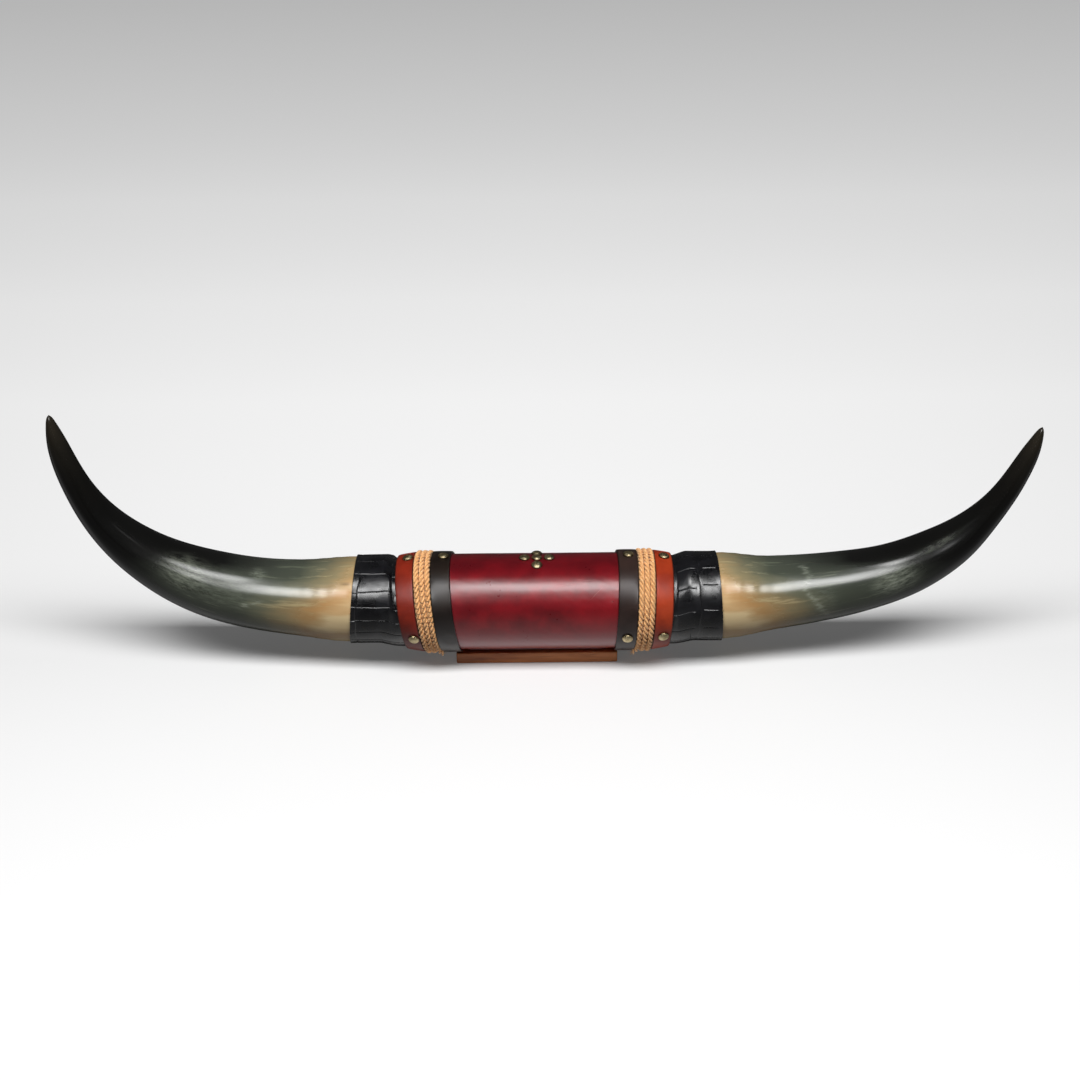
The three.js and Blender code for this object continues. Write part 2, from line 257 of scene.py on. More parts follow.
def tan_strap_radius(along):
    return core_radius(along) + 2 * GAP + CUFF_THICKNESS + TAN_STRAP["thickness"]


# Meshes


def grid_quads(rows, columns, close_rows=False, close_columns=True):
    """Quads over a grid of points, counted row by row."""
    last_row = rows if close_rows else rows - 1
    last_column = columns if close_columns else columns - 1
    i, j = np.meshgrid(np.arange(last_row), np.arange(last_column), indexing="ij")
    next_i, next_j = (i + 1) % rows, (j + 1) % columns
    corners = [i * columns + j, i * columns + next_j, next_i * columns + next_j, next_i * columns + j]
    return np.stack(corners, -1).reshape(-1, 4)


def end_caps(rows, columns):
    """The two faces that close a grid of points at its first and last row."""
    first_row = np.arange(columns)
    return [first_row[::-1], first_row + (rows - 1) * columns]


def unit(vectors):
    return vectors / np.linalg.norm(vectors, axis=-1, keepdims=True)


def new_piece(name, points, quads, material, caps=(), attributes=None):
    """A smooth-shaded mesh object, facing outwards, from points in millimetres."""
    points = points.reshape(-1, 3)
    corner = points[quads]
    spread = np.cross(corner[:, 2] - corner[:, 0], corner[:, 3] - corner[:, 1])
    volume = np.einsum("ij,ij->", corner.mean(1) - points.mean(0), spread)
    if volume < 0:
        quads = quads[:, ::-1]
        caps = [cap[::-1] for cap in caps]
    corners = np.concatenate([quads.ravel(), *caps]).astype(np.int32)
    counts = np.array([4] * len(quads) + [len(cap) for cap in caps])
    mesh = bpy.data.meshes.new(name)
    mesh.vertices.add(len(points))
    mesh.vertices.foreach_set("co", (points * MM).astype(np.float32).ravel())
    mesh.loops.add(len(corners))
    mesh.loops.foreach_set("vertex_index", corners)
    mesh.polygons.add(len(counts))
    starts = np.cumsum(counts) - counts
    mesh.polygons.foreach_set("loop_start", starts.astype(np.int32))
    mesh.polygons.foreach_set("use_smooth", np.ones(len(counts), bool))
    for key, values in (attributes or {}).items():
        kind, field = ("FLOAT_VECTOR", "vector") if values.ndim > 1 else ("FLOAT", "value")
        layer = mesh.attributes.new(key, kind, "POINT")
        layer.data.foreach_set(field, values.astype(np.float32).ravel())
    mesh.update(calc_edges=True)
    mesh.validate()
    mesh.materials.append(material)
    piece = bpy.data.objects.new(name, mesh)
    bpy.context.collection.objects.link(piece)
    return piece


def dress(piece, node):
    """Puts a piece on the root body and hides the solid it stands for."""
    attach(piece, "root")
    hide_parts(node)
    return piece


def waves(points, lengths, seed, count=5):
    """A gentle, repeatable unevenness from -1 to 1, with waves about as long as asked."""
    draw = np.random.default_rng(seed)
    total = np.zeros(points.shape[:-1])
    for _ in range(count):
        direction = draw.normal(size=3) / np.asarray(lengths)
        total += np.sin(2 * np.pi * points @ direction + draw.uniform(0, 2 * np.pi))
    return total / count


# Materials


def srgb(red, green, blue):
    """A colour read on a 0 to 255 scale, as Blender's linear light."""
    levels = [level / 255 for level in (red, green, blue)]
    return (*[v / 12.92 if v <= 0.04045 else ((v + 0.055) / 1.055) ** 2.4 for v in levels], 1)


# Where a Mix node keeps its two colours and its result
MIX_FIRST, MIX_SECOND, MIX_RESULT = 6, 7, 2


class Look:
    """A material being built: a Principled shader and short ways to add nodes to it."""

    def __init__(
        self, name, roughness=0.5, metallic=0.0, coat=0.0, coat_roughness=0.1, sheen=0.0, ior=1.5
    ):
        self.material = bpy.data.materials.new(name)
        self.material.use_nodes = True
        self.tree = self.material.node_tree
        self.shader = self.tree.nodes["Principled BSDF"]
        settings = {
            "Roughness": roughness,
            "Metallic": metallic,
            "Coat Weight": coat,
            "Coat Roughness": coat_roughness,
            "Sheen Weight": sheen,
            "IOR": ior,
        }
        for socket, value in settings.items():
            self.shader.inputs[socket].default_value = value

    def put(self, socket, value):
        """Links an output to a socket, or sets the socket to a plain value."""
        if isinstance(value, bpy.types.NodeSocket):
            self.tree.links.new(value, socket)
        else:
            socket.default_value = value

    def node(self, kind, inputs=None, **settings):
        """A new node, its options set and its inputs filled by name or number."""
        node = self.tree.nodes.new(kind)
        for key, value in settings.items():
            setattr(node, key, value)
        for socket, value in (inputs or {}).items():
            self.put(node.inputs[socket], value)
        return node

    def position(self):
        return self.node("ShaderNodeNewGeometry").outputs["Position"]

    def attribute(self, name, output="Fac"):
        return self.node("ShaderNodeAttribute", attribute_name=name).outputs[output]

    def part_of(self, vector, axis):
        return self.node("ShaderNodeSeparateXYZ", {0: vector}).outputs[axis]

    def noise(self, vector, scale, detail=3.0, roughness=0.5, distortion=0.0, output="Fac"):
        """Noise with one scale, or with a scale for each axis."""
        if isinstance(scale, tuple):
            mapping = self.node("ShaderNodeMapping", {"Vector": vector, "Scale": scale})
            vector, scale = mapping.outputs["Vector"], 1.0
        inputs = {
            "Vector": vector,
            "Scale": scale,
            "Detail": detail,
            "Roughness": roughness,
            "Distortion": distortion,
        }
        return self.node("ShaderNodeTexNoise", inputs).outputs[output]

    def shaken(self, vector, scale, reach):
        """A vector that a slow noise pushes about."""
        push = self.noise(vector, scale, detail=2, output="Color")
        inputs = {0: push, 1: reach, 2: vector}
        return self.node("ShaderNodeVectorMath", inputs, operation="MULTIPLY_ADD").outputs["Vector"]

    def spot(self, vector, middle, size, degrees=0.0):
        """1 inside an ellipse laid on a flat vector, fading to 0 at its edge."""
        inputs = {
            "Vector": vector,
            "Location": (*middle, 0),
            "Rotation": (0, 0, math.radians(degrees)),
            "Scale": (*size, 1),
        }
        place = self.node("ShaderNodeMapping", inputs, vector_type="TEXTURE").outputs["Vector"]
        length = self.node("ShaderNodeVectorMath", {0: place}, operation="LENGTH")
        return self.levels(length.outputs["Value"], 1.0, 0.3)

    def cells(self, vector, scale):
        node = self.node("ShaderNodeTexVoronoi", {"Vector": vector, "Scale": scale})
        return node.outputs["Distance"]

    def math(self, operation, *values):
        node = self.node("ShaderNodeMath", dict(enumerate(values)), operation=operation)
        return node.outputs["Value"]

    def swayed(self, value, noise, reach):
        """A value that a noise moves up and down, by half the reach each way."""
        return self.math("MULTIPLY_ADD", self.math("SUBTRACT", noise, 0.5), reach, value)

    def levels(self, value, low, high, out_low=0.0, out_high=1.0):
        """Stretches a value's range from low to high on to another range, smoothly."""
        inputs = {
            "Value": value,
            "From Min": low,
            "From Max": high,
            "To Min": out_low,
            "To Max": out_high,
        }
        node = self.node("ShaderNodeMapRange", inputs, interpolation_type="SMOOTHSTEP")
        return node.outputs["Result"]

    def ramp(self, value, stops):
        node = self.node("ShaderNodeValToRGB", {"Fac": value})
        elements = node.color_ramp.elements
        while len(elements) < len(stops):
            elements.new(1.0)
        for element, (place, colour) in zip(elements, stops):
            element.position = place
            element.color = colour
        return node.outputs["Color"]

    def mix(self, amount, first, second):
        inputs = {"Factor": amount, MIX_FIRST: first, MIX_SECOND: second}
        return self.node("ShaderNodeMix", inputs, data_type="RGBA").outputs[MIX_RESULT]

    def tint(self, colour, tone, amount, *masks):
        """Mixes a tone into a colour by an amount, which any masks hold back."""
        for mask in masks:
            amount = self.math("MULTIPLY", mask, amount)
        return self.mix(amount, colour, srgb(*tone))

    def bump(self, height, depth, strength=1.0, under=None):
        """Adds a bump of a depth in millimetres, on top of an earlier one if given."""
        inputs = {"Strength": strength, "Distance": depth * MM, "Height": height}
        if under is not None:
            inputs["Normal"] = under
        return self.node("ShaderNodeBump", inputs).outputs["Normal"]

    def finish(self, colour=None, roughness=None, normal=None, coat_normal=None):
        for socket, value in (
            ("Base Color", colour),
            ("Roughness", roughness),
            ("Normal", normal),
            ("Coat Normal", coat_normal),
        ):
            if value is not None:
                self.put(self.shader.inputs[socket], value)
        return self.material


def horn_look(name):
    """Polished horn: fibres run from base to tip, from ivory through grey-green to black."""
    look = Look(name, coat=0.25, coat_roughness=0.14, ior=1.54)
    straight = look.attribute("straight", "Vector")
    fibre = look.noise(straight, (7, 260, 260), detail=5, roughness=0.65)
    streak = look.noise(straight, (9, 62, 62))
    cloud = look.noise(straight, (18, 30, 30))
    feathers = look.noise(straight, (75, 380, 380), detail=6, roughness=0.75)
    # The zone holds the horn's tone along its length and, on its upper side, painted shade.
    zone = look.attribute("zone")
    for noise, reach in ((streak, 40), (fibre, 22), (cloud, 34)):
        zone = look.swayed(zone, noise, reach)
    stops = [(at / ZONE_LENGTH, srgb(*colour)) for at, colour in HORN_COLOURS]
    colour = look.ramp(look.math("DIVIDE", zone, ZONE_LENGTH), stops)
    amber_streak = look.levels(streak, 0.42, 0.66)
    pale_fibre = look.levels(fibre, 0.54, 0.7)
    feathered = look.levels(feathers, 0.32, 0.72)
    colour = look.tint(colour, (176, 124, 66), 0.5, amber_streak, look.levels(zone, 105, 40))
    colour = look.tint(colour, (210, 180, 126), 0.5, pale_fibre, look.levels(zone, 125, 70))
    colour = look.tint(colour, (134, 140, 118), 0.3, pale_fibre, look.levels(zone, 235, 150))
    colour = look.tint(colour, (160, 166, 150), 0.6, look.attribute("milk"), feathered)
    colour = look.tint(colour, (26, 21, 16), 0.8, look.attribute("mark"))
    roughness = look.swayed(look.levels(zone, 80, 45, 0.18, 0.36), cloud, 0.16)
    return look.finish(colour, roughness, look.bump(fibre, 0.06, 0.4))


def leather_look(
    name, dark, light, roughness, spot_scale=26, grain=0.35, edge=None, wear_and_shade=None, **shader
):
    """Smooth leather: mottled dye, fine pores and a few soft scuffs; a given function can add marks
    and painted shade.
    """
    look = Look(name, **shader)
    place = look.position()
    mottle = look.noise(place, spot_scale, detail=4, roughness=0.55)
    fine = look.noise(place, 340, roughness=0.6)
    colour = look.mix(look.levels(mottle, 0.32, 0.68), srgb(*dark), srgb(*light))
    colour = look.tint(colour, dark, look.levels(fine, 0.56, 0.36, 0.0, 0.12))
    rough = look.swayed(look.swayed(roughness, mottle, 0.12), fine, 0.12)
    pores = look.bump(look.cells(place, 1300), 0.02, grain)
    skin = look.bump(fine, 0.035, grain, under=pores)
    if edge is not None:
        colour = look.tint(colour, edge, look.attribute("edge"))
    # The given function adds wear marks, and on the drum painted shade on top as well.
    if wear_and_shade is not None:
        colour, skin = wear_and_shade(look, colour, skin)
    return look.finish(colour, rough, skin, skin)


def drum_wear_and_shade(look, colour, skin):
    """Painted shade darkening the top, a brighter red towards the bottom, fine scratches and two
    nicks.
    """
    chart = look.attribute("chart", "Vector")
    place = look.shaken(chart, 0.25, (1.6, 1.6, 0))
    height = look.part_of(place, "Y")
    colour = look.tint(colour, (148, 14, 26), 0.35, look.spot(place, (58, 12), (34, 22)))
    # Painted shade: the upper part of the drum's face is darkened in its colour.
    colour = look.tint(colour, (66, 4, 12), 0.5, look.levels(height, 44, 66))
    # A brighter red towards the bottom of the drum's face.
    colour = look.tint(colour, (152, 10, 24), 0.6, look.levels(height, 4, -24))
    for middle, size, degrees, depth in DRUM_SCRATCHES:
        line = look.spot(place, middle, size, degrees)
        colour = look.tint(colour, (150, 96, 92), 0.4, line)
        skin = look.bump(line, -depth, 0.8, under=skin)
    for middle in DRUM_NICKS:
        nick = look.spot(chart, middle, (0.9, 0.6))
        colour = look.tint(colour, (24, 4, 6), 0.8, nick)
        skin = look.bump(nick, -0.2, 0.8, under=skin)
    return colour, skin


def cuff_look():
    """Black glazed leather; its scales are in the mesh, fine creases are added as bumps, and the
    grooves are darkened as painted shade.
    """
    look = Look("black_embossed_leather", coat=0.8, coat_roughness=0.21)
    place = look.position()
    cloud = look.noise(place, 60, detail=4)
    crease = look.noise(place, 420, detail=4, roughness=0.65, distortion=0.4)
    colour = look.mix(look.levels(cloud, 0.35, 0.7), srgb(9, 9, 11), srgb(20, 20, 23))
    # Painted shade: the colour is darkened down in the grooves.
    colour = look.tint(colour, (5, 5, 6), 0.5, look.attribute("groove"))
    roughness = look.levels(cloud, 0.3, 0.75, 0.24, 0.36)
    creases = look.bump(crease, 0.03, 0.2)
    skin = look.bump(look.noise(place, 110, detail=2), 0.16, 0.2, under=creases)
    return look.finish(colour, roughness, skin, skin)


def rope_look():
    """Twisted plant fibre: yarns of three tones, with painted shade darkening them down between the
    strands.
    """
    look = Look("golden_rope", roughness=0.8, sheen=0.25)
    yarn = look.noise(look.attribute("fibre", "Vector"), 2.6, detail=4, roughness=0.65)
    fuzz = look.noise(look.position(), 900, detail=2)
    tones = [(0.32, (176, 112, 54)), (0.5, (228, 166, 102)), (0.66, (255, 218, 166))]
    colour = look.ramp(yarn, [(at, srgb(*tone)) for at, tone in tones])
    # Painted shade: the colour is darkened deep down between the strands.
    colour = look.tint(colour, (170, 104, 50), 0.85, look.attribute("depth"))
    colour = look.tint(colour, (236, 196, 146), look.levels(fuzz, 0.4, 0.7, 0.0, 0.2))
    return look.finish(colour, normal=look.bump(yarn, 0.35, 0.9))


def brass_look():
    look = Look("aged_brass", metallic=1.0)
    tarnish = look.noise(look.position(), 420, detail=4, roughness=0.6)
    colour = look.mix(look.levels(tarnish, 0.35, 0.7), srgb(228, 212, 172), srgb(188, 168, 124))
    colour = look.tint(colour, (58, 46, 28), 0.8, look.attribute("rim"))
    roughness = look.levels(tarnish, 0.3, 0.75, 0.38, 0.52)
    return look.finish(colour, roughness, look.bump(tarnish, 0.04, 0.4))


def steel_look():
    look = Look("plated_steel", metallic=1.0)
    stain = look.noise(look.position(), 500, detail=4)
    colour = look.mix(look.levels(stain, 0.4, 0.7), srgb(176, 176, 172), srgb(128, 126, 120))
    roughness = look.levels(stain, 0.3, 0.7, 0.28, 0.5)
    return look.finish(colour, roughness, look.bump(stain, 0.03, 0.4))


def wood_look(name, dark, mid, light, roughness):
    """Wood with its grain along X: slow colour bands, dark pores and fine fibres."""
    look = Look(name)
    place = look.position()
    figure = look.noise(place, (5, 70, 70), detail=4, roughness=0.55, distortion=0.6)
    pores = look.noise(place, (28, 900, 900), roughness=0.6)
    fibre = look.noise(place, (60, 2200, 2200), detail=2)
    colour = look.ramp(figure, [(0.3, srgb(*dark)), (0.5, srgb(*mid)), (0.7, srgb(*light))])
    colour = look.tint(colour, dark, look.levels(pores, 0.6, 0.72, 0.0, 0.75))
    rough = look.math("MULTIPLY_ADD", pores, 0.2, roughness)
    grain = look.bump(pores, 0.12, 0.5)
    return look.finish(colour, rough, look.bump(fibre, 0.04, 0.4, under=grain))


# Colours of the horn by its zone in mm: how far from its base a point is, shifted round the horn,
# partly as painted shade on its upper side
ZONE_LENGTH = 420
HORN_COLOURS = [
    (26, (214, 190, 146)),
    (50, (170, 140, 97)),
    (72, (132, 121, 91)),
    (95, (96, 96, 78)),
    (125, (66, 70, 60)),
    (160, (60, 64, 56)),
    (195, (50, 53, 47)),
    (220, (35, 37, 33)),
    (245, (17, 17, 16)),
    (310, (11, 11, 10)),
    (350, (14, 13, 11)),
    (385, (25, 23, 19)),
    (415, (37, 33, 26)),
]

# Marks on the drum's leather, by distance from the middle and distance up its face, in mm
DRUM_SCRATCHES = [
    ((60.1, 30.9), (11, 0.35), 46, 0.06),
    ((50.8, 44.5), (15, 0.3), -9, 0.05),
    ((30, 40), (13, 0.25), 8, 0.04),
]
DRUM_NICKS = [(74.3, 22.2), (26, -31.5)]

HORN = horn_look("polished_horn")
OXBLOOD = leather_look(
    "oxblood_leather",
    (88, 5, 14),
    (117, 9, 20),
    0.31,
    spot_scale=48,
    grain=0.7,
    wear_and_shade=drum_wear_and_shade,
    coat=0.9,
    coat_roughness=0.27,
)
DARK_LEATHERS = {
    side: leather_look(name, dark, light, 0.38, edge=edge, coat=coat, coat_roughness=0.34)
    for side, name, dark, light, edge, coat in (
        ("left", "dark_leather", (19, 13, 10), (32, 24, 19), (12, 8, 6), 0.35),
        ("right", "brown_leather", (34, 23, 20), (48, 35, 31), (16, 10, 8), 0.1),
    )
}
TAN_LEATHERS = {
    side: leather_look(name, dark, light, roughness, edge=edge)
    for side, name, dark, light, roughness, edge in (
        ("left", "russet_leather", (92, 22, 11), (126, 35, 18), 0.42, (52, 18, 10)),
        ("right", "tan_leather", (124, 36, 16), (164, 57, 25), 0.44, (60, 22, 10)),
    )
}
BLACK_LEATHER = cuff_look()
ROPE_FIBRE = rope_look()
BRASS = brass_look()
STEEL = steel_look()
BOARD_WOOD = wood_look("board_wood", (106, 52, 20), (178, 104, 52), (208, 134, 76), 0.42)
CORE_WOOD = wood_look("core_wood", (150, 112, 70), (186, 148, 102), (208, 176, 130), 0.55)


# Horns


def patch(distance, degrees, middle, at_degrees, spread, degrees_spread):
    """A soft-edged patch on a horn, from 0 to 1, round a distance and an angle."""
    off = ((distance - middle) / spread) ** 2 + ((degrees - at_degrees) / degrees_spread) ** 2
    return np.exp(-(off**1.4))


def toothed_line(distance, degrees, path, width):
    """A jagged line that crosses the horn, through (degrees, distance) points."""
    at_degrees, at_distance = zip(*path)
    teeth = 1.5 * np.sin(degrees * 0.9) + 0.8 * np.sin(degrees * 2.3)
    line = np.interp(degrees, at_degrees, at_distance) + teeth
    first, last = at_degrees[0], at_degrees[-1]
    inside = smooth_step(degrees, first - 3, first + 3) * fade_out(degrees, last - 3, last + 3)
    return np.exp(-(((distance - line) / width) ** 2)) * inside


# The zone's shifts round the horn are given at these angles; the larger shifts on the upper side are
# painted shade.
ZONE_ANGLES = [-180, -90, -40, 11, 36, 62, 90, 130, 180]


def zone(distance, degrees, shifts):
    """How far along the horn's colour ramp a point is: its tone shifts round the horn, and its upper
    side is darkened sooner as painted shade.
    """
    # Painted shade: the upper side is pushed further along the ramp, to darker colours.
    painted_top_shade = 42 * smooth_step(distance, 60, 150) * smooth_step(degrees, 42, 78)
    painted_top_shade = painted_top_shade * fade_out(degrees, 130, 170)
    away_from_tip = 1 - smooth_step(distance, 220, 310)
    return distance + (np.interp(degrees, ZONE_ANGLES, shifts) + painted_top_shade) * away_from_tip


def left_marks(distance, degrees):
    milk = (
        0.75 * patch(distance, degrees, 206, 34, 22, 26)
        + 0.8 * patch(distance, degrees, 129, 61, 8, 9)
        + 0.9 * toothed_line(distance, degrees, [(2, 142), (6, 138), (17, 122)], 4)
        + 0.3 * patch(distance, degrees, 165, 24, 45, 30)
    )
    crack = toothed_line(degrees, distance, [(172, 12.8), (190, 8), (222, 4)], 1.1)
    notch = patch(distance, degrees, 35.3, 48, 5, 1.8)
    # Shifts round the horn: lighter low in front, and painted shade darkening the upper side.
    tone_and_shade = zone(distance, degrees, [0, -10, -20, -26, 6, 31, 38, 20, 0])
    mark = np.clip(0.7 * crack + 0.6 * notch, 0, 1)
    return {"zone": tone_and_shade, "milk": np.clip(milk, 0, 1), "mark": mark}


def right_marks(distance, degrees):
    chevron = [(-26, 135), (5, 125), (24, 117), (34, 116), (48, 122), (70, 117)]
    milk = (
        0.9 * patch(distance, degrees, 207, 14, 21, 27)
        + 0.9 * toothed_line(distance, degrees, chevron, 3)
        + 0.3 * patch(distance, degrees, 132, 5, 14, 30)
        + 0.3 * patch(distance, degrees, 262, 44, 26, 8)
    )
    # Shifts round the horn: lighter low in front, and painted shade darkening the upper side.
    tone_and_shade = zone(distance, degrees, [0, -5, -34, -24, 6, 34, 38, 20, 0])
    return {"zone": tone_and_shade, "milk": np.clip(milk, 0, 1), "mark": np.zeros_like(distance)}


HORN_ROUNDING, HORN_RINGS, HORN_COLUMNS = 7.0, 330, 160
TIP_CROWDING, AXIS_HOLE = 1.3, 0.05
HORN_SWELL, RIDGE_HEIGHT, RIDGE_SPACING = 0.45, 0.12, 2.4


def horn(side, marks):
    """A horn with a rounded base and a blind hole, its rings closer together at the tip."""
    socket = PLUG_LENGTH + GAP
    base_radius = side.horn_radius(0)
    hole = [
        (socket, AXIS_HOLE),
        (socket, PLUG_END + GAP),
        (socket / 2, (PLUG_BASE + PLUG_END) / 2 + GAP),
        (0, PLUG_BASE + GAP),
        (0, base_radius - HORN_ROUNDING - 1),
    ]
    hole_along, hole_radius = zip(*hole)
    corner = np.radians(np.linspace(0, 90, 9))
    to_go = (1 - np.arange(HORN_RINGS + 1) / HORN_RINGS) ** TIP_CROWDING
    distances = side.horn_length * (1 - to_go)
    distances = distances[distances > HORN_ROUNDING]
    along = np.concatenate([hole_along, HORN_ROUNDING * (1 - np.sin(corner)), distances])
    radius = np.concatenate([
        hole_radius,
        base_radius - HORN_ROUNDING + HORN_ROUNDING * np.cos(corner),
        side.horn_radius(distances),
    ])
    radius = np.maximum(radius, AXIS_HOLE)
    outside = np.arange(len(along)) >= len(hole)
    angle = np.linspace(0, 2 * np.pi, HORN_COLUMNS, endpoint=False)
    along, angle = np.meshgrid(along, angle, indexing="ij")
    radius = np.repeat(radius[:, None], HORN_COLUMNS, 1)
    straight = np.stack([along, *on_round(radius, angle)], -1)
    swell = HORN_SWELL * waves(straight, (150, 60, 60), SEED + side.sign)
    near_base = fade_out(along / side.horn_length, 0.1, 0.3)
    ridges = RIDGE_HEIGHT * np.sin(along / RIDGE_SPACING + 0.6 * np.sin(2 * angle)) * near_base
    free = outside[:, None] * smooth_step(along, 20, 45) * smooth_step(radius, 0, 8)
    grown = radius + (swell + ridges) * free
    points = side.place(HORN_BASE + along, *on_round(grown, angle))
    degrees = (np.degrees(angle) + 180) % 360 - 180
    rows = len(points)
    attributes = {key: values.ravel() for key, values in marks(along, degrees).items()}
    attributes["straight"] = straight.reshape(-1, 3) * MM
    quads, caps = grid_quads(rows, HORN_COLUMNS), end_caps(rows, HORN_COLUMNS)
    node = f"{side.name}_horn"
    piece = new_piece(f"{node}_polished", points, quads, HORN, caps, attributes)
    return dress(piece, node)


horn(LEFT, left_marks)
horn(RIGHT, right_marks)


# Bands of leather

BOTTOM_START, BOTTOM_END = -90, 270


def inner_stations(start, end, count):
    """Evenly spaced stations between two ends, without the ends."""
    return np.linspace(start, end, count + 2)[1:-1]


def strip_outline(start, end, thickness, rounding, top):
    """The outline of a strip's section, as distances along and heights above its underside.

    It goes up one rounded edge, over the top, down the other edge and back underneath.
    """
    bend = np.radians(np.linspace(0, 90, 5))
    edge_along = start + rounding * (1 - np.cos(bend))
    edge_height = thickness - rounding * (1 - np.sin(bend))
    under = inner_stations(end, start, 4)
    other_edge = (start + end) - edge_along[::-1]
    along = np.concatenate([[start], edge_along, top, other_edge, [end], under])
    over_top = np.full(len(top), thickness)
    flat = np.zeros(len(under))
    height = np.concatenate([[0], edge_height, over_top, edge_height[::-1], [0], flat])
    return along, height


def band(name, placing, under, outline, degrees, material, skin, attribute, closed=False):
    """Sweeps a section round the drum. The skin lifts its upper side, by along and angle."""
    degrees = np.asarray(degrees)[:, None]
    along, height = np.broadcast_arrays(*outline)
    along = np.broadcast_to(along, (len(degrees), along.shape[-1]))
    height = np.broadcast_to(height, along.shape)
    angle = np.radians(degrees)
    degrees = np.degrees(angle)
    upper = smooth_step(height, 0, height.max())
    radius = under(along, degrees) + height + skin(along, degrees) * upper
    points = placing(along, *on_round(radius, angle))
    rows, columns = along.shape
    key, make = attribute
    values = make(along, height, degrees + 0 * along).reshape(rows * columns, -1).squeeze()
    quads = grid_quads(rows, columns, close_rows=closed)
    caps = [] if closed else end_caps(rows, columns)
    return new_piece(name, points, quads, material, caps, {key: values})


def place_whole(along, across, up):
    """Placing for a layer that covers both halves: negative values are on the left."""
    left = LEFT.place_leaning(-along, across, up)
    right = RIGHT.place_leaning(along, across, up)
    return np.where((along < 0)[..., None], left, right)


def on_surface(along, degrees):
    """Points that an unevenness round the drum is worked out from."""
    return np.stack(np.broadcast_arrays(along, degrees * 0.8, 0 * along), -1)


def tack_dimples(spots, depth):
    """How far the leather is pressed down round each tack, by along and angle."""
    reach = TACK_HEAD * 1.15

    def skin(along, degrees):
        total = np.zeros(np.broadcast(along, degrees).shape)
        for at_along, at_degrees in spots:
            turn = (degrees - at_degrees + 180) % 360 - 180
            off = np.hypot(along - at_along, np.radians(turn) * CORE_RADIUS)
            total = total - depth * np.exp(-((off / reach) ** 4))
        return total

    return skin


STRAP_ROUNDING, STRAP_CROWN, STRAP_EDGE = 0.7, 0.35, 1.1


def strap(side, name, sizes, surface, material):
    """A strap laid once round, its ends butted underneath and its edges darker."""
    start, end, thickness = sizes["start"], sizes["end"], sizes["thickness"]
    middle = (start + end) / 2
    butt_gap = math.degrees(1 / surface(middle))
    degrees = np.linspace(BOTTOM_START + butt_gap / 2, BOTTOM_END - butt_gap / 2, 300)
    top = inner_stations(start + STRAP_ROUNDING, end - STRAP_ROUNDING, 22)
    tacks = [(middle + side.tack_shift, turn) for turn in TACK_ANGLES.values()]
    pressed = tack_dimples(tacks, 0.35)

    def skin(along, degrees):
        crown = -STRAP_CROWN * ((along - middle) / (end - start) * 2) ** 4
        uneven = 0.14 * waves(on_surface(along, degrees), (40, 60, 60), SEED + len(name))
        return crown + pressed(along, degrees) + uneven

    def edge(along, height, degrees):
        from_edge = np.minimum(along - start, end - along)
        return np.clip(1 - from_edge / STRAP_EDGE, 0, 1) ** 0.7

    piece = band(
        f"{side.name}_{name}_band",
        side.place_leaning,
        lambda along, degrees: surface(along) - thickness,
        strip_outline(start, end, thickness, STRAP_ROUNDING, top),
        degrees,
        material,
        skin,
        ("edge", edge),
    )
    return dress(piece, f"{side.name}_{name}")


for side in SIDES:
    strap(side, "dark_strap", DARK_STRAP, dark_strap_radius, DARK_LEATHERS[side.name])
    strap(side, "tan_strap", TAN_STRAP, tan_strap_radius, TAN_LEATHERS[side.name])

# The centre leather's edge rounding, as a share of half its width, and the climb of its lap
SHEET_ROUNDING, LAP_CLIMB = 0.008, 3


def center_leather():
    """One sheet wound round the drum from the back, its end lapped over it underneath."""
    lap_over = BOTTOM_END - LAP_HALF_ANGLE
    climb = lap_over - LAP_CLIMB
    degrees = np.concatenate([
        np.linspace(BOTTOM_START - LAP_HALF_ANGLE, climb, 230, endpoint=False),
        np.linspace(climb, BOTTOM_END + LAP_HALF_ANGLE, 45),
    ])
    top = inner_stations(SHEET_ROUNDING - 1, 1 - SHEET_ROUNDING, 130)
    unit_along, height = strip_outline(-1, 1, WRAP_THICKNESS, SHEET_ROUNDING, top)
    half_length = np.interp(degrees, [climb, lap_over], [WRAP_END, LAP_HALF_LENGTH])[:, None]
    spots = [(CROSS_OFFSET, 90)]
    spots += [(CROSS_OFFSET + step * CROSS_SPACING, 90) for step in (-1, 1)]
    spots += [(CROSS_OFFSET, 90 + step * CROSS_ANGLE) for step in (-1, 1)]
    pressed = tack_dimples(spots, 0.3)

    def under(along, degrees):
        risen = smooth_step(degrees, climb, lap_over)
        return CORE_RADIUS + GAP + risen * (WRAP_THICKNESS + GAP)

    def skin(along, degrees):
        places = on_surface(along, degrees)
        slow = 0.16 * waves(places, (60, 45, 45), SEED)
        quick = 0.05 * waves(places, (14, 12, 12), SEED + 1)
        return slow + quick + pressed(along, degrees)

    def chart(along, height, degrees):
        up_face = np.radians(degrees) * (CORE_RADIUS + WRAP_THICKNESS)
        return np.stack([along, up_face, 0 * along], -1)

    piece = band(
        "center_leather_sheet",
        place_whole,
        under,
        (unit_along[None] * half_length, height),
        degrees,
        OXBLOOD,
        skin,
        ("chart", chart),
    )
    return dress(piece, "center_leather")


center_leather()


# Cuffs of embossed leather


@dataclass
class Scales:
    """Where the grooves of a cuff run: round it, and lengthwise in the columns between.

    Round the groove's clear place, given with its spread, it is deep. The grooves lengthwise
    stop short of their columns' ends by the fade.
    """

    round_at: float
    clear_at: tuple
    inner: list
    outer: list
    spacing: float
    fade: float


